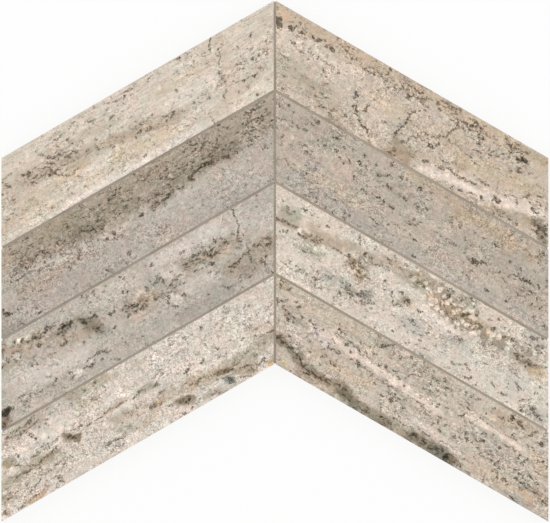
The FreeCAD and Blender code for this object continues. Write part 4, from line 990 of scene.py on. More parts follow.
figureRight3 = {
    "stone": (217, 208, 194),
    "levels": {"moss": -0.04, "grain": 0.95, "bedding": 0.2, "web": 0.15},
    "washes": [
        ((160, 142, 120), 0.7, 2.4, (-15, 26), (-4, 27)),
        ((158, 140, 116), 0.7, 2.6, (5, 26), (12, 27), (13, 29)),
        ((190, 168, 144), 0.6, 4, (4, 32), (16, 31), (27, 33)),
        ((166, 142, 110), 0.6, 4.5, (33, 26), (38, 27), (42, 22)),
        ((172, 152, 130), 0.6, 5, (43, 33), (52, 37), (61, 36)),
        ((180, 166, 128), 0.5, 4, (69, 38), (72, 36)), ((136, 122, 96), 0.8, 2.4, (69.5, 23.5), (72, 22.5)),
        ((150, 148, 118), 0.6, 2, (68.5, 21)), ((188, 154, 106), 0.6, 2, (73.5, 21)),
        ((206, 184, 160), 0.5, 6, (84, 30), (105, 31), (124, 29)),
        ((192, 172, 148), 0.45, 5, (94, 29), (110, 29), (116, 31)),
        ((224, 210, 196), 0.7, 5, (-2, 12), (14, 13), (22, 19)),
        ((226, 213, 200), 0.7, 7, (84, 24), (98, 20)), ((222, 210, 197), 0.6, 5, (60, 7), (82, 6)),
        ((224, 209, 196), 0.7, 4, (142, 3), (154, 2)), ((222, 205, 189), 0.6, 5, (110, 40), (130, 40)),
        ((218, 206, 190), 0.5, 6, (-16, 38), (14, 39)), ((180, 176, 164), 0.6, 4, (-15, 32), (-6, 33)),
        ((178, 176, 166), 0.6, 4, (22, 13), (29, 14)), ((170, 168, 156), 0.7, 3.6, (36, 13), (40, 12)),
        ((160, 158, 150), 0.8, 3.2, (45, 13), (49, 14)), ((186, 184, 176), 0.6, 5, (76, 14), (86, 12)),
        ((184, 184, 174), 0.6, 5, (102, 18), (110, 18)), ((188, 186, 176), 0.5, 5, (113, 25), (131, 26)),
        ((166, 154, 134), 0.7, 4.5, (137, 27), (150, 27)),
        ((192, 162, 126), 0.6, 3.5, (150, 24), (157, 25)), ((178, 174, 164), 0.6, 4, (140, 40), (149, 38)),
        ((176, 172, 162), 0.6, 4, (160, 5), (168, 3)), ((178, 176, 166), 0.5, 3, (90, 0.5), (96, 1)),
        ((194, 192, 184), 0.5, 5, (142, 15), (150, 12)), ((228, 216, 202), 0.7, 5, (100, 24), (112, 25)),
        ((228, 218, 206), 0.6, 6, (56, 26), (66, 29)), ((168, 160, 138), 0.6, 3.5, (-14, 32), (-4, 31)),
        ((176, 170, 150), 0.5, 3.5, (6, 19), (16, 20)), ((168, 158, 138), 0.6, 3, (30, 34), (40, 33)),
        ((172, 160, 140), 0.6, 4, (8, 30), (24, 31)), ((176, 170, 154), 0.5, 4, (84, 38), (100, 40)),
        ((174, 164, 144), 0.5, 3.5, (60, 33), (68, 34)), ((212, 204, 192), 0.6, 5, (112, 14), (130, 13)),
    ],
    "moss": [
        (0.14, 8, (70, 36), (120, 33), (150, 30)), (0.14, 7, (20, 9), (60, 12), (100, 14)),
        (0.12, 6, (110, 6), (168, 6)), (0.14, 4, (-14, 32), (-5, 32)), (0.14, 4, (22, 13), (29, 13)),
        (0.16, 4, (35, 13), (49, 13)), (0.12, 4, (77, 14), (86, 12)), (0.2, 3.5, (137, 27), (150, 26)),
        (0.14, 3, (160, 5), (167, 4)), (0.14, 3, (34, 33), (42, 32)), (0.12, 3, (140, 40), (150, 39)),
    ],
    "web": [
        (0.6, 6, (32, 26), (44, 22)), (0.55, 7, (84, 34), (112, 29)), (0.4, 8, (136, 34), (152, 34)),
        (0.35, 8, (44, 10), (56, 11)),
    ],
    "worm": [
        (0.6, 8, (40, 21), (64, 23)), (0.5, 7, (98, 14), (120, 22)), (0.5, 7, (-8, 20), (18, 20)),
        (0.55, 7, (124, 22), (142, 19)), (0.4, 7, (18, 8), (50, 8)),
    ],
    "cell": [
        (0.85, 10, (68, 38), (84, 35), (104, 34)), (0.8, 8.5, (86, 30), (104, 28), (128, 28)),
        (0.8, 3, (-2, 27), (6, 27)), (0.7, 5, (32, 27), (44, 23)), (0.7, 6, (128, 31), (150, 34)),
    ],
    "pale": [(0.18, 5, (-4, 12), (22, 17)), (0.2, 6, (82, 23), (100, 20)), (0.15, 5, (58, 7), (84, 6))],
    "specks": [
        (0.75, 1.1, (30, 28.5), (71.5, 23), (138.5, 27.5), (66.5, 25.5), (37.5, 34), (89.5, 36.5),
         (103.5, 33), (120, 33.5), (132.5, 33.5), (161, 5.5)),
        (0.65, 1, (38, 13), (39, 12), (46, 14.5), (47.5, 14), (36.5, 7.5), (51, 37.5), (67, 18.5),
         (79.5, 21.5), (139.5, 27), (140, 25.5), (146, 24), (146, 37.5), (148.5, 38.5), (141.5, 39.5),
         (108, 35.5), (120.5, 39.5), (128, 37), (127, 32.5), (156, 2.5), (166, 3.5), (167.5, 3), (134.5, 7),
         (143, 4.5), (-3, 38.5), (-6, 22.5), (70.5, 22.5)),
        (0.52, 0.95, (-16.5, 37), (-12.5, 34.5), (-11, 32.5), (-9, 32), (-8, 34.5), (-10, 27.5),
         (-14.5, 26), (2, 24.5), (6.5, 27.5), (11.5, 27), (13, 28.5), (12, 36.5), (-8, 22.5), (-9.5, 21.5),
         (3.5, 9), (10.5, 8.5), (12.5, 8.5), (12.5, 7.5), (11.5, 8), (8, 9), (20, 12), (20, 8), (28.5, 14),
         (27.5, 12.5), (37, 14.5), (34, 14), (39.5, 14.5), (37.5, 6.5), (35.5, 6), (38.5, 32.5),
         (41.5, 33.5), (36.5, 30.5), (40.5, 30), (41, 40), (33.5, 25.5), (34.5, 26.5), (36, 25),
         (37.5, 27.5), (38.5, 26), (36.5, 28.5), (35.5, 23.5), (53, 40.5), (54.5, 38.5), (49.5, 38),
         (52.5, 36.5), (60.5, 40), (58.5, 36.5), (66, 36), (53, 32.5), (65, 25.5), (54.5, 26), (45.5, 12),
         (48.5, 13.5), (47, 12), (48, 16), (50, 17.5), (52.5, 13), (53, 12), (55.5, 9.5), (50.5, 9.5),
         (72, 4.5), (83, 2.5), (76.5, 10), (78, 14.5), (88, 7.5), (92, 1), (93.5, 0.5), (69.5, 21.5),
         (72, 22), (90.5, 40), (95.5, 39), (96.5, 38.5), (99.5, 41), (101, 41.5), (105, 40), (104, 38.5),
         (99.5, 19.5), (104.5, 18.5), (106, 19), (108, 19), (113.5, 30), (110.5, 28.5), (116.5, 8.5),
         (119.5, 7), (110, 5.5), (123, 26), (134.5, 31.5), (124.5, 36.5), (146.5, 42), (149.5, 35.5),
         (140, 35.5), (140, 30.5), (141.5, 28.5), (142, 25), (143.5, 26), (145, 27), (146.5, 26.5),
         (148, 27), (149.5, 27), (151, 27.5), (159, 18.5), (162, 6.5), (162.5, 4.5), (164.5, 3.5),
         (157.5, 2), (155.5, 3), (158, 14), (167, 12), (156, 30)),
    ],
    "lines": [
        (0.55, 1, [(-14, 26), (-11, 27.5), (-8, 27), (-5, 27), (-3, 27.5)]),
        (0.6, 0.9, [(0, 25.5), (1.5, 24.5), (3, 25), (5, 25)], [(146.5, 38), (148.5, 39), (150.5, 39.5)]),
        (0.55, 0.8, [(8, 25.5), (11, 26), (13, 27.5)], [(117.5, 2), (119.5, 2), (120.5, 2), (122, 3),
         (123, 4)]), (0.55, 0.65, [(30, 41.5), (31, 40), (32.5, 38), (33, 37)]),
        (0.52, 0.65, [(31, 29.5), (29, 28.5), (28, 28), (26, 27.5), (24, 28), (22.5, 28), (20.5, 28)]),
        (0.42, 0.65, [(17, 26), (18.5, 26)], [(92, 28), (94, 27.5), (95.5, 27), (97.5, 27)], [(98.5, 27.5),
         (100, 27), (101, 26.5)]), (0.5, 1, [(6.5, 18.5), (7.5, 18), (9, 18.5)]),
        (0.42, 0.85, [(9, 20), (10.5, 20), (12, 19.5), (14, 19.5)], [(55, 4), (55.5, 2.5), (54.5, 2)]),
        (0.42, 0.75, [(-1, 7.5), (2, 7), (5, 6), (8, 6), (10, 6.5)], [(48.5, 33), (50, 32.5), (51, 33.5),
         (52.5, 34)], [(45, 9), (47, 8.5)]), (0.55, 0.85, [(21, 8), (23, 9), (24.5, 9.5)]),
        (0.42, 0.7, [(18, 6), (19.5, 6.5), (20.5, 8)], [(88, 31), (88.5, 29.5)], [(147, 12.5),
         (149.5, 10.5)]), (0.48, 0.7, [(21, 7), (22, 4.5), (23.5, 3.5), (25, 4.5), (26.5, 5)]),
        (0.5, 0.75, [(34.5, 4.5), (35.5, 3), (36, 2)], [(38.5, 23.5), (41, 23.5)], [(169.5, 7.5),
         (170.5, 6)], [(108, 27.5), (109.5, 28.5), (111, 28.5)]),
        (0.5, 0.85, [(39, 21.5), (41, 21)], [(55, 13), (55.5, 12)]),
        (0.42, 1, [(42, 31.5), (45, 31.5), (48, 32)]),
        (0.52, 0.9, [(71, 34.5), (72.5, 35), (74.5, 35), (75.5, 34)]),
        (0.46, 0.75, [(69.5, 31), (71, 32), (72.5, 33)], [(107, 31), (108.5, 29.5), (109, 28.5)]),
        (0.56, 0.75, [(77.5, 33.5), (78.5, 33), (79.5, 33)], [(87, 40.5), (88.5, 41)], [(86.5, 10),
         (87.5, 11.5), (88.5, 12.5), (90, 13.5)], [(124, 36.5), (125.5, 37)]),
        (0.52, 0.85, [(90, 37.5), (89.5, 35)]),
        (0.62, 0.9, [(101.5, 31), (102.5, 32.5), (104, 33.5), (105.5, 34.5)], [(142, 4.5), (143.5, 4.5),
         (144.5, 5.5)]),
        (0.5, 0.65, [(102, 23), (102, 24), (101, 24)], [(50.5, 11), (51.5, 10.5), (52.5, 11)]),
        (0.52, 0.75, [(104.5, 23.5), (106, 24.5)], [(145, 14.5), (147, 13), (149, 13), (150, 12.5)],
         [(152, 5), (153.5, 7), (155, 8.5), (156.5, 9), (157.5, 9)], [(112.5, 6), (113.5, 7), (115, 8),
         (116.5, 8.5), (118, 7.5)], [(113.5, 30), (114, 31), (112, 31.5), (110, 31), (108.5, 30)]),
        (0.58, 0.65, [(60.5, 23.5), (61.5, 22), (62.5, 20.5), (63.5, 19.5), (64, 18), (65, 17), (66.5, 18),
         (67, 19), (68.5, 18.5), (70, 19)]), (0.6, 0.85, [(79, 21.5), (80, 21.5), (81, 22)]),
        (0.46, 1, [(77, 14.5), (78, 14), (79, 15)], [(134.5, 38.5), (136, 38.5), (138, 38)]),
        (0.48, 0.55, [(90.5, 4), (92, 4.5), (93.5, 5), (95.5, 5.5), (97, 6)]),
        (0.5, 0.8, [(107.5, 1.5), (110, 2.5)], [(144, 41.5), (146.5, 42)]),
        (0.46, 0.9, [(115, 37.5), (116.5, 37), (117.5, 37)], [(154.5, 4), (156, 4)]),
        (0.65, 0.85, [(119.5, 33.5), (121, 34)]), (0.6, 0.95, [(140, 39.5), (142, 40), (144.5, 40.5)]),
        (0.55, 0.75, [(140, 35.5), (142, 35.5), (143.5, 35)]),
        (0.46, 0.65, [(138.5, 33), (139, 31), (140.5, 30.5), (142.5, 31.5), (142.5, 33.5)]),
        (0.42, 0.6, [(141.5, 17.5), (143.5, 17.5), (146.5, 17.5)]),
        (0.56, 0.9, [(157.5, 13.5), (158.5, 14.5), (159.5, 14.5)]),
        (0.62, 0.85, [(134.5, 7), (135.5, 6.5), (136.5, 5.5)]),
    ],
    "grains": [
        (0.6, 1.6, (3.5, 27), (26.5, 29.5), (77, 34.5), (82.5, 34), (87, 34), (105, 29.5), (119, 29),
         (123, 30), (130, 31.5), (93, 38)),
        (0.5, 1.3, (-1, 27), (81, 37.5), (85, 38.5), (92, 32), (101, 29), (97, 29.5), (104, 24), (111, 30),
         (150.5, 36.5), (140.5, 32.5)),
    ],
    "streaks": [
        (0.4, 0.9, [(12, 2), (20, 2)]), (0.4, 0.8, [(148, 30), (153, 30.5)]),
        (0.35, 0.9, [(66, 15), (74, 18)]),
    ],
}
makeTile(6, "tile_right_3", figureRight3)

figureLeft4 = {
    "stone": (223, 213, 201),
    "levels": {"moss": -0.04, "grain": 0.95, "worm": 0.32, "web": 0.12, "bedding": 0.5},
    "washes": [
        ((226, 219, 209), 0.5, 12, (120, 37), (170, 34)), ((192, 181, 164), 0.4, 9, (10, 12), (40, 14)),
        ((172, 158, 136), 0.6, 4.5, (26, 38), (36, 40), (46, 39)),
        ((160, 140, 102), 0.85, 2.6, (16.5, 25), (20.5, 26.5)),
        ((178, 178, 162), 0.5, 3, (20, 25), (25, 21)),
        ((178, 166, 142), 0.6, 4, (12, 16), (25, 18), (45, 19)),
        ((168, 168, 150), 0.6, 2.6, (17, 18), (22, 17)), ((140, 126, 101), 0.95, 3, (56, 22.5), (59, 20)),
        ((166, 146, 118), 0.6, 1.8, (36, 18), (47, 19.5)), ((162, 140, 112), 0.7, 2.4, (8, 9), (12, 9)),
        ((152, 132, 108), 0.7, 1.9, (3.5, 3), (6, 2.5)),
        ((198, 166, 124), 0.6, 1.5, (18, 1.5), (24, 2.5), (30, 3.5)),
        ((186, 178, 165), 0.6, 6, (46, 40), (66, 40)), ((228, 215, 203), 0.6, 5, (24, 30), (34, 29)),
        ((224, 214, 200), 0.6, 5, (44, 29), (56, 29)), ((174, 166, 145), 0.7, 3.8, (66, 41), (88, 40)),
        ((190, 176, 154), 0.5, 3, (84, 40), (96, 39)), ((190, 172, 142), 0.45, 2.2, (109, 39.5), (114, 38)),
        ((188, 177, 152), 0.5, 3.6, (69, 34), (78, 33)),
        ((168, 160, 140), 0.75, 2.5, (103, 23), (108, 24), (113, 22.5)),
        ((190, 164, 136), 0.6, 1.8, (80, 23), (93, 24)),
        ((172, 164, 144), 0.7, 2.8, (83, 16.5), (88, 17), (94, 16)),
        ((146, 138, 116), 0.85, 2, (102, 13), (107, 13.5)), ((172, 174, 156), 0.7, 2.8, (85, 11), (90, 9)),
        ((206, 184, 160), 0.5, 3.4, (94, 7), (103, 9)), ((204, 176, 136), 0.6, 2.4, (109, 13), (111, 13)),
        ((146, 132, 107), 0.95, 3.3, (118.5, 8.5), (122, 7), (125, 6)),
        ((192, 174, 152), 0.65, 4.2, (114, 15), (134, 13)), ((204, 188, 168), 0.5, 4, (84, 14), (102, 15)),
        ((186, 168, 144), 0.75, 4.6, (130, 13), (150, 11.5), (166, 9)),
        ((142, 120, 94), 0.8, 1.9, (146, 10.5), (153, 9.5)),
        ((154, 160, 154), 0.9, 3.2, (149, 4.5), (151, 4)), ((170, 148, 120), 0.7, 3.2, (156, 6), (163, 4)),
        ((190, 152, 108), 0.8, 2.2, (171, 1.5), (177, 3.5)),
        ((184, 178, 160), 0.65, 5, (160, 13), (174, 13)), ((178, 168, 149), 0.6, 4.5, (172, 15), (180, 13)),
        ((174, 155, 135), 0.6, 2.2, (177, 16.5), (184, 17)),
        ((216, 196, 180), 0.7, 4, (174, 22), (181, 21)), ((160, 150, 134), 0.6, 2.6, (134, 3), (141, 2)),
        ((222, 212, 199), 0.6, 6, (140, 31), (165, 31)), ((214, 204, 191), 0.5, 6, (150, 37), (190, 38)),
        ((224, 208, 194), 0.6, 4, (4, 6), (9, 5)),
    ],
    "moss": [
        (0.14, 4, (26, 39), (46, 40)), (0.12, 3, (20, 17), (45, 18)), (0.16, 3, (55, 22), (60, 20)),
        (0.12, 4, (66, 41), (90, 41)), (0.16, 2.5, (103, 23), (113, 23)), (0.16, 2.5, (119, 8), (125, 6)),
        (0.16, 3, (147, 5), (152, 4)), (0.12, 3, (142, 10), (156, 9)), (0.12, 3, (72, 7), (83, 7)),
    ],
    "worm": [
        (0.35, 10, (52, 12), (66, 30)), (0.35, 12, (68, 12), (78, 26)), (0.3, 10, (140, 34), (172, 28)),
        (0.25, 8, (90, 30), (106, 32)),
    ],
    "pale": [
        (0.16, 5, (24, 29), (34, 29)), (0.16, 5, (44, 29), (58, 28)), (0.16, 5, (84, 27), (96, 21)),
    ],
    "specks": [
        (0.75, 1.15, (58.5, 19.5), (140.5, 21), (124.5, 7.5), (150, 5), (149.5, 3.5), (150, 10),
         (131.5, 21), (38.5, 32.5)),
        (0.6, 1.05, (141.5, 21.5), (122, 6), (130, 19.5), (56, 22), (57.5, 20.5), (46, 20), (26, 27.5),
         (26, 38.5), (103.5, 13.5), (105.5, 13.5), (103, 24), (112.5, 23), (78, 4), (80.5, 7), (113.5, 9),
         (118, 1), (123.5, 2), (151.5, 23.5), (160, 24), (150, 38), (171, 5.5), (4.5, 3), (10, 9),
         (33.5, 37), (41.5, 40), (38.5, 39.5), (84, 41), (132.5, 12.5), (118, 26.5), (90.5, 17.5), (93, 16),
         (96.5, 17)),
        (0.46, 0.95, (35, 40), (44, 41), (30, 40), (23, 10.5), (33.5, 13), (37, 11), (41, 12), (43, 12.5),
         (48.5, 13), (47, 11), (36.5, 7.5), (40, 6), (40.5, 4.5), (40, 2.5), (6, 8), (22, 25.5), (23.5, 23),
         (34, 22), (36, 22.5), (42.5, 22.5), (46.5, 23.5), (24, 17.5), (26, 16.5), (28, 20.5), (30, 19),
         (35, 18), (40.5, 18.5), (49, 24), (49.5, 36.5), (44, 34.5), (35, 32), (46, 27.5), (60, 40),
         (49, 34), (70.5, 33.5), (77, 33.5), (71, 7), (74, 8), (78, 7.5), (82.5, 7), (72.5, 3), (85.5, 14),
         (95, 13.5), (86.5, 36.5), (105.5, 23.5), (109, 23.5), (98, 22.5), (100.5, 23), (111, 22.5),
         (112.5, 18), (114, 17.5), (99, 6), (115, 34), (117, 35.5), (118, 32), (127.5, 2.5), (129.5, 4),
         (134, 23), (119, 7.5), (121, 8), (123, 5), (131.5, 41), (130.5, 38), (139, 37.5), (143, 37.5),
         (149.5, 37), (164, 35.5), (170.5, 34.5), (178, 35.5), (185, 36), (159.5, 32.5), (140, 26.5),
         (147, 28.5), (155, 29), (180.5, 28.5), (186, 28.5), (173.5, 24.5), (150.5, 18.5), (154.5, 18.5),
         (167.5, 20.5), (173.5, 19), (183.5, 21.5), (148.5, 4.5), (150.5, 2.5), (147.5, 6.5), (146, 11.5),
         (153, 9.5), (160.5, 7), (162, 4), (168.5, 9.5), (174.5, 9), (171.5, 4), (139, 3), (140.5, 2),
         (136.5, 2.5), (164.5, 13), (176, 13), (66, 37), (76, 40), (70, 42)),
    ],
    "lines": [
        (0.5, 0.7, [(28, 40.5), (33, 39.5), (38, 40), (42, 41), (46, 42)], [(36, 7), (38.5, 7), (40, 5.5),
         (41.5, 4.5)], [(128, 13), (131, 13), (134, 12)], [(150.5, 24), (152.5, 23)], [(160, 5),
         (163, 2.5)], [(176, 17.5), (180, 17), (184, 16.5)]),
        (0.5, 0.65, [(30, 37.5), (34, 37), (40, 37.5), (46, 38.5)]),
        (0.45, 0.65, [(36.5, 36.5), (37.5, 35.5)], [(36, 24), (38, 25), (42, 24.5), (45, 25)], [(112, 27),
         (116, 27.5)], [(108, 11), (110, 12.5), (109.5, 14.5)], [(132, 13), (137, 13.5), (142, 11.5),
         (148, 11), (154, 10.5), (160, 10)], [(169.5, 34.5), (172, 34.5)]),
        (0.65, 0.85, [(38, 34), (39, 32), (39.5, 30.5)]),
        (0.55, 0.65, [(48.5, 24), (51, 25), (54, 25), (57, 25), (60, 24), (64, 24), (67, 24)]),
        (0.5, 0.85, [(32, 22), (35, 22.5), (38, 23), (42, 23), (46, 23)], [(21.5, 24), (24, 22),
         (25, 21.5)]),
        (0.45, 0.85, [(20, 17), (24, 17.5), (26, 16.5), (31, 17), (36, 18), (41, 19)], [(71, 4.5),
         (72.5, 3), (74, 4)]), (0.55, 0.75, [(43, 19.5), (46.5, 20)]),
        (0.45, 0.7, [(14, 10), (18, 9.5)], [(117.5, 29), (118, 26.5)], [(154, 3.5), (158, 2), (160, 1)],
         [(175.5, 35), (178, 36), (179, 35)]), (0.55, 0.6, [(22, 6), (25, 7.5), (28, 8.5), (31, 9.5)]),
        (0.45, 0.55, [(30, 11.5), (34, 10.5)], [(23, 8.5), (27, 9)], [(81, 34), (84, 34), (87, 34)],
         [(86, 38), (87.5, 36), (87, 34.5)]),
        (0.5, 0.6, [(38, 11.5), (39.5, 11), (42, 12), (44, 12.5)], [(19, 2), (23, 3), (26, 2.5), (30, 3.5)],
         [(66, 22), (70, 22.5), (74, 22), (78, 22.5)], [(149.5, 18.5), (151.5, 18), (153.5, 18),
         (155.5, 18.5)], [(143, 8.5), (146, 7.5), (150, 7), (154, 7)]),
        (0.42, 0.55, [(47, 11), (47.5, 13), (49.5, 13.5), (51.5, 12.5), (51.5, 10.5)], [(180, 27.5),
         (181, 29), (184, 28), (188, 29), (190, 29.5)]),
        (0.5, 0.8, [(12, 1), (14.5, 1), (16, 2.5), (17, 3.5)], [(72, 7.5), (75, 8), (79, 7.5), (82, 7)],
         [(102, 23.5), (104, 24.5)], [(110, 22.5), (113.5, 22)], [(158, 7.5), (161, 7), (164, 5.5),
         (168, 4), (171, 4)]),
        (0.55, 0.7, [(80, 23.5), (84, 24), (87, 23), (90, 24), (94, 23.5)], [(138, 21.5), (140, 21),
         (142.5, 22)], [(144, 10.5), (148, 10), (151, 10), (154, 9)]),
        (0.6, 0.8, [(128.5, 20), (130.5, 21), (132, 21), (133, 19.5)]),
    ],
    "grains": [
        (0.5, 1.4, (17, 21.5), (20, 22.5), (30, 29), (27, 29.5), (33, 31.5), (44.5, 30), (54, 28.5),
         (62.5, 28.5), (84, 27.5), (92.5, 28.5), (94.5, 26.5), (94, 20.5), (91, 21.5), (36, 13.5),
         (29, 14)),
    ],
    "streaks": [
        (0.45, 0.7, [(132, 15.5), (140, 15), (146, 13)]), (0.45, 0.6, [(140, 6), (146, 5.5)]),
        (0.4, 0.7, [(22, 4), (30, 4.5)], [(50, 26.5), (66, 25.5)]), (0.4, 0.6, [(156, 11.5), (164, 10)]),
    ],
}
makeTile(7, "tile_left_4", figureLeft4)

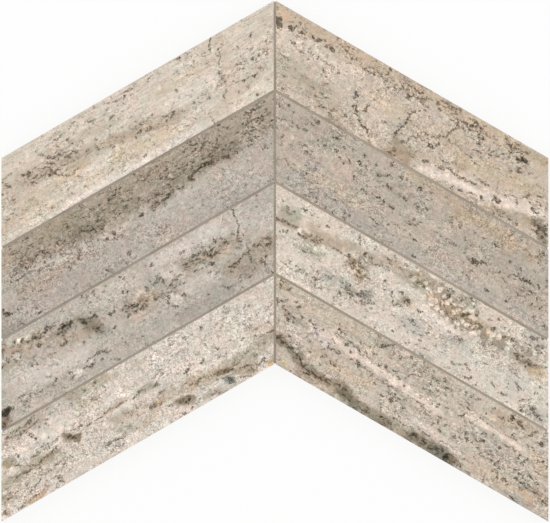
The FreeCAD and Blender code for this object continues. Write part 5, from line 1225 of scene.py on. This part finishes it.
figureRight4 = {
    "stone": (200, 189, 174),
    "levels": {"moss": -0.02, "grain": 1.18, "bedding": 0.8, "web": 0.1, "worm": 0.2},
    "washes": [
        ((205, 189, 167), 0.6, 4.5, (-14, 38), (10, 37), (30, 39)),
        ((203, 187, 166), 0.5, 3.6, (40, 35), (60, 34)), ((180, 165, 138), 0.5, 2.6, (-22, 41), (-14, 40)),
        ((228, 210, 194), 0.85, 3, (8, 28), (25, 27.5), (42, 26), (60, 25), (74, 24.5), (92, 23)),
        ((216, 207, 202), 0.8, 2.8, (11, 28), (15, 25), (18, 23)),
        ((214, 201, 190), 0.7, 2.3, (-2, 21), (5, 20), (10, 16.5), (12, 14)),
        ((226, 208, 190), 0.85, 2.4, (107, 29), (125, 28.5), (140, 27.5)),
        ((140, 128, 108), 0.9, 3.4, (-7, 13.5), (-3, 12.5), (3, 12), (8, 10.5), (12, 7.5), (20, 6), (30, 6),
         (36, 7), (42, 6.5)), ((170, 152, 130), 0.7, 3.4, (14, 3), (30, 3.5), (42, 4)),
        ((120, 113, 92), 0.85, 4, (42, 4), (50, 3)), ((142, 134, 114), 0.8, 3.6, (50, 2), (68, 2)),
        ((162, 150, 129), 0.7, 3.6, (66, 2.5), (84, 2.5)), ((136, 126, 107), 0.9, 4, (84, 3.5), (98, 3)),
        ((122, 119, 105), 0.95, 4.2, (100, 4), (110, 3.5)), ((148, 128, 106), 0.8, 2.8, (110, 3), (114, 3)),
        ((208, 198, 160), 0.6, 2.2, (2, 5), (4, 4)), ((208, 196, 181), 0.6, 3.6, (50, 11), (70, 11)),
        ((220, 205, 193), 0.75, 2.4, (78, 11), (95, 10.5), (112, 9)),
        ((203, 185, 158), 0.5, 3.6, (14, 16), (30, 16), (50, 16)),
        ((192, 171, 146), 0.6, 4.6, (122, 38), (140, 39)),
        ((214, 192, 167), 0.6, 2.2, (118, 34), (121, 34)),
        ((188, 180, 167), 0.5, 5.5, (118, 22), (140, 21)),
        ((200, 188, 180), 0.6, 2.4, (126, 17), (129, 18)), ((206, 185, 162), 0.5, 5.5, (122, 7), (146, 6)),
        ((204, 174, 142), 0.6, 3, (154, 6), (160, 5)), ((148, 148, 137), 0.7, 2, (151, 11), (156, 10.5)),
        ((170, 149, 126), 0.6, 2.8, (156, 11), (170, 9)), ((214, 191, 166), 0.6, 4.6, (148, 28), (160, 22)),
        ((172, 165, 154), 0.6, 2.2, (146, 1.5), (160, 1)), ((160, 151, 136), 0.6, 2.8, (44, 39), (52, 41)),
        ((180, 168, 149), 0.5, 3.6, (72, 39), (85, 37)), ((190, 178, 162), 0.5, 3, (-12, 29), (-3, 28)),
    ],
    "moss": [
        (0.12, 6, (-10, 30), (40, 22), (90, 19)), (0.12, 8, (110, 18), (165, 14)),
        (0.1, 6, (40, 38), (140, 38)), (0.2, 5, (-7, 13), (4, 12), (12, 7), (30, 6), (42, 6)),
        (0.3, 4.5, (44, 3), (66, 2)), (0.3, 4.5, (84, 4), (110, 3)), (0.2, 4, (66, 2), (84, 2.5)),
        (0.12, 3, (128, 39), (142, 37)), (0.12, 3, (150, 11), (158, 10)), (0.12, 3.5, (-12, 29), (-2, 29)),
        (0.1, 3, (36, 22), (42, 22)), (0.12, 3, (44, 39), (52, 40)), (0.1, 4, (118, 22), (146, 21)),
    ],
    "web": [(0.35, 6, (62, 20), (96, 19)), (0.3, 7, (120, 20), (146, 21)), (0.3, 5, (66, 32), (90, 31))],
    "pale": [
        (0.2, 3, (10, 28), (45, 26)), (0.2, 3, (45, 26), (92, 23)), (0.2, 2.6, (107, 28.5), (140, 27.5)),
        (0.15, 3, (80, 11), (110, 9)),
    ],
    "specks": [
        (0.85, 1.15, (46.5, 38.5), (65.5, 15), (103, 26.5), (128.5, 40), (128.5, 38.5), (107, 3),
         (137.5, 7), (-6.5, 25)),
        (0.75, 1, (28.5, 29), (73, 14.5), (59.5, 14.5), (68.5, 16), (32.5, 27), (-6.5, 14), (18, 4.5),
         (88, 35.5), (67.5, 25.5), (150, 35.5), (150, 1.5), (155, 27), (133.5, 31.5), (36.5, 7.5),
         (25, 5.5), (28, 6), (0, 12.5), (7.5, 11), (3, 12.5), (-3.5, 12.5)),
        (0.58, 0.95, (-21, 42), (-19, 41.5), (-19.5, 39), (-14.5, 40), (-7.5, 35.5), (-5, 34), (-17, 31.5),
         (-14.5, 32), (-12.5, 34), (-16, 29.5), (-12.5, 30), (-12, 29), (-9.5, 28.5), (-8, 28), (-0.5, 30),
         (-4.5, 27.5), (-8.5, 26), (-3.5, 25), (4.5, 30.5), (7, 30), (8.5, 28.5), (13, 29.5), (21, 34.5),
         (22.5, 33.5), (24.5, 34), (19.5, 36.5), (29.5, 31.5), (33, 30.5), (34.5, 34.5), (40.5, 30.5),
         (15.5, 23), (11.5, 25.5), (18.5, 20.5), (20.5, 23), (23, 23), (26, 23), (27.5, 23), (35, 23.5),
         (39, 23.5), (38.5, 22.5), (40.5, 22), (42, 23), (9.5, 20.5), (-1, 17.5), (21.5, 18), (20, 16.5),
         (28.5, 16), (26, 16), (21.5, 12), (12.5, 7), (14, 6.5), (19.5, 6), (40, 7), (9, 1), (49, 40),
         (50.5, 41.5), (53.5, 37.5), (57.5, 38), (63.5, 40.5), (44.5, 32), (50, 28.5), (53.5, 29.5),
         (58.5, 29.5), (60, 30), (63, 27.5), (66, 29), (73, 40), (73.5, 38.5), (79.5, 37), (82.5, 36.5),
         (79.5, 33.5), (84.5, 32), (77.5, 29.5), (78.5, 24.5), (85.5, 24.5), (89, 25), (94.5, 26.5),
         (49, 21.5), (43.5, 23), (53, 18.5), (65, 18.5), (71.5, 19), (85, 18), (87, 19), (93, 20),
         (94, 17.5), (98.5, 18), (92, 14.5), (97, 13.5), (62, 8), (63, 7), (72, 7), (45.5, 5), (45.5, 3),
         (56, 2), (57.5, 2.5), (65, 4), (71, 3.5), (82, 3.5), (86, 5), (88, 4), (92.5, 4), (94, 3.5),
         (108, 2.5), (103.5, 5), (103, 39), (107, 39), (99.5, 38.5), (103, 35), (105, 32), (117, 39.5),
         (124, 37.5), (132.5, 39.5), (134.5, 39), (136.5, 38), (142, 36.5), (143.5, 39.5), (114.5, 35),
         (147, 30.5), (124, 26.5), (118.5, 24.5), (120.5, 24), (120, 20.5), (130.5, 22), (142, 22),
         (142.5, 23.5), (146.5, 22), (147, 23.5), (146, 20.5), (110.5, 19.5), (115.5, 17), (134.5, 15.5),
         (134, 14), (136, 12), (134, 9.5), (141, 7.5), (142.5, 8), (153, 16.5), (147.5, 15), (150, 14.5),
         (158.5, 15), (164, 14), (147, 12), (147.5, 11), (151.5, 11), (160.5, 10.5), (168.5, 10.5),
         (166.5, 8.5), (169.5, 7.5), (152.5, 8), (116.5, 6.5), (117.5, 2), (123, 1), (154.5, 1),
         (158.5, 25.5), (152.5, 26)),
    ],
    "lines": [
        (0.55, 0.7, [(20, 27.5), (22, 27), (24, 26.5)]),
        (0.45, 0.55, [(21, 31.5), (24, 31.5), (28, 31), (30, 30.5)], [(36, 29.5), (37.5, 28.5), (39.5, 28)],
         [(98, 32.5), (100, 32), (102, 32)], [(130, 25), (134, 24.5), (138, 25), (142, 25.5)], [(122.5, 14),
         (124, 15.5), (127, 15.5)], [(122.5, 13.5), (126, 13), (129, 14)], [(115, 1.5), (119, 1.5),
         (124, 1)]),
        (0.5, 0.55, [(-14, 33), (-12, 34)], [(43, 23.5), (45, 23), (47.5, 23)], [(97.5, 7.5), (100, 8.5),
         (103, 9), (106, 9), (112, 8.5)], [(84, 39.5), (86, 39), (88, 38.5)], [(130, 39.5), (132, 40.5),
         (133.5, 40)], [(113, 31), (116, 30.5), (120, 30), (126, 29.5), (132, 29.5), (136, 30),
         (139, 29.5)], [(112.5, 29), (111, 27.5), (111, 26.5)], [(130, 14), (131.5, 13), (133.5, 12.5)],
         [(152, 16.5), (155, 16), (157, 15), (159, 15)], [(164, 8.5), (167, 8.5), (169.5, 7.5)]),
        (0.45, 0.65, [(-4.5, 33), (-3, 31.5), (-1, 30.5)]),
        (0.6, 0.75, [(-7.5, 13.5), (-5.5, 13.5), (-4, 13), (-1, 12.5), (3, 12)]),
        (0.5, 0.8, [(7, 11), (10, 9), (12, 7.5)]),
        (0.6, 0.8, [(17.5, 4), (18.5, 5)], [(129, 41), (128.5, 38)]),
        (0.6, 0.7, [(22, 5), (25, 5.5), (28, 5.5), (30, 5.5)]),
        (0.45, 0.5, [(48.5, 21.5), (52, 21), (56, 21), (60, 21), (64, 22), (68, 21.5), (72, 22), (76, 21.5),
         (80, 21.5), (84, 21.5), (87, 21)], [(67, 31), (68.5, 33), (70.5, 34), (72.5, 34.5), (74, 33.5)],
         [(76, 28.5), (78, 29.5), (81, 30), (84, 30)], [(154, 21), (157, 20.5), (162, 21)]),
        (0.42, 0.5, [(41, 29), (44, 28), (48, 27.5), (54, 27.5), (60, 27)], [(75, 6.5), (79, 6.5), (82, 7)],
         [(143.5, 6), (145.5, 6.5), (147, 7.5)]),
        (0.5, 0.5, [(62, 19), (65, 18), (68, 17.5), (71, 17)], [(52, 35), (55, 35)]),
        (0.85, 0.85, [(101.5, 26), (103.5, 27), (104.5, 28)]),
        (0.6, 0.6, [(85.5, 9.5), (88, 8.5), (91, 8), (93.5, 8)]),
        (0.5, 0.6, [(121, 36.5), (124, 36.5), (128, 37)], [(158.5, 10), (161, 10.5), (163, 10)],
         [(157.5, 26), (160, 25)]), (0.55, 0.6, [(150, 11), (152.5, 12), (155.5, 12), (158, 11.5)]),
        (0.55, 0.55, [(147.5, 2), (151, 1.5), (154, 1)]),
    ],
    "grains": [
        (0.45, 1.3, (14, 27), (17, 24), (36, 27), (50, 25), (56, 25.5), (62, 24.5), (70, 24.5), (76, 25),
         (88, 23), (118, 28.5), (128, 28), (135, 27.5), (119.5, 34), (97.5, 25.5)),
    ],
    "streaks": [
        (0.4, 0.6, [(20, 29), (30, 28.5)]), (0.4, 0.7, [(44, 27), (60, 26), (72, 25.5)]),
        (0.35, 0.6, [(84, 11.5), (100, 10)], [(-6, 29.5), (6, 29)]),
    ],
}
makeTile(8, "tile_right_4", figureRight4)


# Sanded joint filler, with painted shade on the left half and painted light on the right half
groutLook = {"left": (172, 162, 149), "right": (180, 169, 154), "grain": (200, 189, 172),
             "patch": (238, 236, 232), "change": 2 * mm, "sandScale": 2200.0, "patchScale": 60.0,
             "specular": 0.15, "bump": (0.6, 0.1 * mm), "hollow": 0.12 * mm, "rim": 0.28 * mm,
             "step": 1.5 * mm, "weld": 0.001 * mm, "centreHalf": 0.6 * mm, "rough": 0.04 * mm,
             "lump": 1.3, "seed": 31, "sharpDegrees": 40}


def sandedFiller():
    material, tree, surface = newMaterial("sanded_filler")
    place = addNode(tree, "ShaderNodeTexCoord").outputs["Object"]
    sand = noise(tree, place, groutLook["sandScale"], 2.0, 0.6)
    patches = noise(tree, place, groutLook["patchScale"])
    across = addNode(tree, "ShaderNodeSeparateXYZ", {0: place}).outputs[0]
    # Across the centre the filler turns from the darker left colour to the lighter right one: painted shade
    # on one side and painted light on the other
    side = ramp(tree, across, -groutLook["change"], groutLook["change"])
    colour = cover(tree, side, rgba(groutLook["left"]), groutLook["right"])
    colour = stain(tree, ramp(tree, patches, 0.35, 0.65), colour, groutLook["patch"])
    colour = cover(tree, ramp(tree, sand, 0.56, 0.72, 0.0, 0.5), colour, groutLook["grain"])
    roughness = ramp(tree, sand, 0.3, 0.7, 0.8, 0.95, False)
    finishSurface(tree, surface, colour, roughness, sand, groutLook)
    return material


# The CAD strips, cut into short lengths so that their tops can be hollowed and roughened
def makeGrout():
    low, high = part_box("joint_grout")
    step = groutLook["step"]
    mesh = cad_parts["joint_grout"].data.copy()
    mesh.name = "joint_filler"
    work = bmesh.new()
    work.from_mesh(mesh)
    bmesh.ops.remove_doubles(work, verts=work.verts, dist=groutLook["weld"])
    for x in np.arange(low.x + step, high.x, step):
        whole = work.verts[:] + work.edges[:] + work.faces[:]
        bmesh.ops.bisect_plane(work, geom=whole, plane_co=(x, 0, 0), plane_no=(1, 0, 0))
    for y in np.arange(low.y + step, high.y, step):
        faces = [f for f in work.faces if abs(f.calc_center_median().x) < groutLook["centreHalf"]]
        near = dict.fromkeys(v for f in faces for v in f.verts)
        near.update(dict.fromkeys(e for f in faces for e in f.edges))
        bmesh.ops.bisect_plane(work, geom=[*near, *faces], plane_co=(0, y, 0), plane_no=(0, 1, 0))
    top = [f for f in work.faces if f.normal.z > 0.9]
    rim, depth = groutLook["rim"], -groutLook["hollow"]
    bmesh.ops.inset_region(work, faces=top, thickness=rim, depth=depth, use_even_offset=True)
    hollow = list(dict.fromkeys(v for f in top for v in f.verts))
    spots = np.array([v.co for v in hollow]) / mm
    bumps = cloud(spots[:, 0], spots[:, 1], groutLook["lump"], groutLook["lump"], groutLook["seed"])
    for v, bump in zip(hollow, bumps):
        v.co.z += groutLook["rough"] * bump
    bmesh.ops.recalc_face_normals(work, faces=work.faces)
    work.to_mesh(mesh)
    work.free()
    mesh.materials.clear()
    mesh.materials.append(sandedFiller())
    addPiece(mesh, groutLook["sharpDegrees"], ["joint_grout"])


makeGrout()

# Backing net of flattened glass-fibre strands, woven over and under
netLook = {"margin": 4 * mm, "pitch": 10 * mm, "width": 1.0 * mm, "thickness": 0.2 * mm, "sides": 8,
           "step": 2.5 * mm, "fibre": (226, 224, 212), "shadow": (196, 194, 184), "resin": (206, 200, 178),
           "filamentScale": (60.0, 9000.0, 9000.0), "resinScale": 140.0, "bump": (0.5, 0.05 * mm),
           "specular": 0.5, "shift": 7, "sharpDegrees": 60}


def glassFibre():
    material, tree, surface = newMaterial("glass_fibre")
    place = attribute(tree, "strand", "Vector")
    filaments = noise(tree, stretched(tree, place, netLook["filamentScale"]), 1.0, 2.0, 0.6)
    resin = noise(tree, place, netLook["resinScale"])
    colour = cover(tree, ramp(tree, filaments, 0.35, 0.65), rgba(netLook["shadow"]), netLook["fibre"])
    colour = cover(tree, ramp(tree, resin, 0.5, 0.7, 0.0, 0.6), colour, netLook["resin"])
    roughness = ramp(tree, filaments, 0.3, 0.7, 0.35, 0.6, False)
    finishSurface(tree, surface, colour, roughness, filaments, netLook)
    return material


# Half of the net's outline: its foot and top at the centre line, its slope and how far out it runs
def netOutline():
    first, last = nodePoints("tile_left_1"), nodePoints("tile_left_4")
    innerX, outerX = first[:, 0].max(), first[:, 0].min()
    topY = atX(first, innerX)[:, 1].max()
    footY = atX(last, innerX)[:, 1].min()
    slope = (topY - atX(first, outerX)[:, 1].max()) / (innerX - outerX)
    rim = netLook["margin"] * math.hypot(1, slope)
    return footY - innerX * slope + rim, topY - innerX * slope - rim, slope, -outerX - netLook["margin"]


def addStrand(net, start, end, fixed, upright, phase):
    verts, faces, places = net
    sway = netMiddle - netLook["thickness"] / 2
    sides = netLook["sides"]
    turns = np.arange(sides) * 2 * math.pi / sides
    rounds = np.stack([np.cos(turns) * netLook["width"] / 2, np.sin(turns) * netLook["thickness"] / 2], 1)
    steps = max(2, int((end - start) / netLook["step"]) + 1)
    base = len(verts)
    for spot in np.linspace(start, end, steps):
        z = netMiddle + phase * sway * math.sin(math.pi * spot / netLook["pitch"])
        for wide, tall in rounds:
            x, y = (fixed + wide, spot) if upright else (spot, fixed + wide)
            verts.append((x, y, z + tall))
            places.append((spot, wide + netLook["shift"] * fixed, tall))
    for ring in range(steps - 1):
        for k in range(sides):
            a, b = base + ring * sides + k, base + ring * sides + (k + 1) % sides
            faces.append((a, b, b + sides, a + sides))
    faces.append(tuple(range(base, base + sides)))
    faces.append(tuple(range(base + (steps - 1) * sides, base + steps * sides)))


def makeNet(sideName, side, material):
    foot, top, slope, run = netOutline()
    pitch = netLook["pitch"]
    net = ([], [], [])  # points, faces and places along the strands
    for number in range(int(run / pitch)):
        place = (number + 0.5) * pitch
        ends = (foot - place * slope, top - place * slope)
        addStrand(net, *ends, side * place, True, (-1) ** number)
    rows = int(-(foot - run * slope) / pitch) + 1
    for number in range(-rows, rows):
        height = (number + 0.5) * pitch
        near, far = max(0, (foot - height) / slope), min(run, (top - height) / slope)
        if far - near > pitch:
            ends = sorted((side * near, side * far))
            addStrand(net, *ends, height, False, side * (-1) ** number)
    verts, faces, places = net
    mesh = closedMesh(f"woven_net_{sideName}", verts, faces)
    paint(mesh, "strand", "FLOAT_VECTOR", "vector", places)
    mesh.materials.append(material)
    addPiece(mesh, netLook["sharpDegrees"], [f"backing_net_{sideName}"])


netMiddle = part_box("backing_net_left")[1].z / 2
netMaterial = glassFibre()
makeNet("left", -1, netMaterial)
makeNet("right", 1, netMaterial)

# Pale floor, soft light and a camera that looks straight down
studio = {"floorSize": 6.0, "floorDrop": 0.05 * mm, "floorShade": (250, 250, 250), "whiteShare": 0.85,
          "backGap": 3 * mm, "skyLevel": 0.8, "lampPower": 10.0, "lampSize": 1.6,
          "lampPlace": (2.0, 0.6, 1.5), "distance": 4.0, "sensorWidth": 36, "clipEnd": 20,
          "imageWidth": 550, "pixelSize": 0.555 * mm, "sheetOffset": (0.06 * mm, -0.17 * mm)}
white = (1, 1, 1, 1)


def makeFloor():
    half, depth = studio["floorSize"] / 2, -studio["floorDrop"]
    corners = [(-half, -half, depth), (half, -half, depth), (half, half, depth), (-half, half, depth)]
    mesh = bpy.data.meshes.new("floor")
    mesh.from_pydata(corners, [], [(0, 1, 2, 3)])
    material, tree, surface = newMaterial("pale_floor", "ShaderNodeMixShader")
    path = addNode(tree, "ShaderNodeLightPath").outputs
    seen = sums(tree, "MAXIMUM", path["Is Camera Ray"], path["Is Glossy Ray"])
    seen = sums(tree, "MAXIMUM", seen, path["Is Transmission Ray"])
    diffuse = addNode(tree, "ShaderNodeBsdfDiffuse", {"Color": rgba(studio["floorShade"])}).outputs[0]
    glow = addNode(tree, "ShaderNodeEmission", {"Color": white, "Strength": 1.0}).outputs[0]
    share = times(tree, seen, studio["whiteShare"])
    above = addNode(tree, "ShaderNodeMixShader", {0: share, 1: diffuse, 2: glow}).outputs[0]
    # From under the floor the sheet's back shows, with light on it
    below = addNode(tree, "ShaderNodeNewGeometry").outputs["Backfacing"]
    close = sums(tree, "LESS_THAN", path["Ray Length"], studio["backGap"])
    clear = addNode(tree, "ShaderNodeBsdfTransparent").outputs[0]
    for socket, value in enumerate((sums(tree, "MAXIMUM", below, close), above, clear)):
        feed(tree, surface.inputs[socket], value)
    mesh.materials.append(material)
    floor = bpy.data.objects.new("floor", mesh)
    bpy.context.scene.collection.objects.link(floor)


def makeLight():
    world = bpy.data.worlds.new("studio")
    bpy.context.scene.world = world
    world.use_nodes = True
    sky = world.node_tree.nodes["Background"]
    sky.inputs["Color"].default_value = white
    sky.inputs["Strength"].default_value = studio["skyLevel"]
    reach, forward, height = studio["lampPlace"]
    for name, side in (("lamp_left", -1), ("lamp_right", 1)):
        lamp = bpy.data.lights.new(name, "AREA")
        lamp.shape = "SQUARE"
        lamp.size = studio["lampSize"]
        lamp.energy = studio["lampPower"]
        holder = bpy.data.objects.new(name, lamp)
        holder.location = (side * reach, forward, height)
        holder.rotation_euler = holder.location.to_track_quat("Z", "Y").to_euler()
        bpy.context.scene.collection.objects.link(holder)


def makeCamera():
    data = bpy.data.cameras.new("camera")
    camera = bpy.data.objects.new("camera", data)
    camera.location = (*studio["sheetOffset"], cadBox[1].z + studio["distance"])
    data.sensor_width = studio["sensorWidth"]
    data.lens = data.sensor_width * studio["distance"] / (studio["imageWidth"] * studio["pixelSize"])
    data.clip_end = studio["clipEnd"]
    bpy.context.scene.collection.objects.link(camera)
    bpy.context.scene.camera = camera


makeFloor()
makeLight()
makeCamera()
bpy.context.scene.view_settings.view_transform = "Standard"
print("stage made")
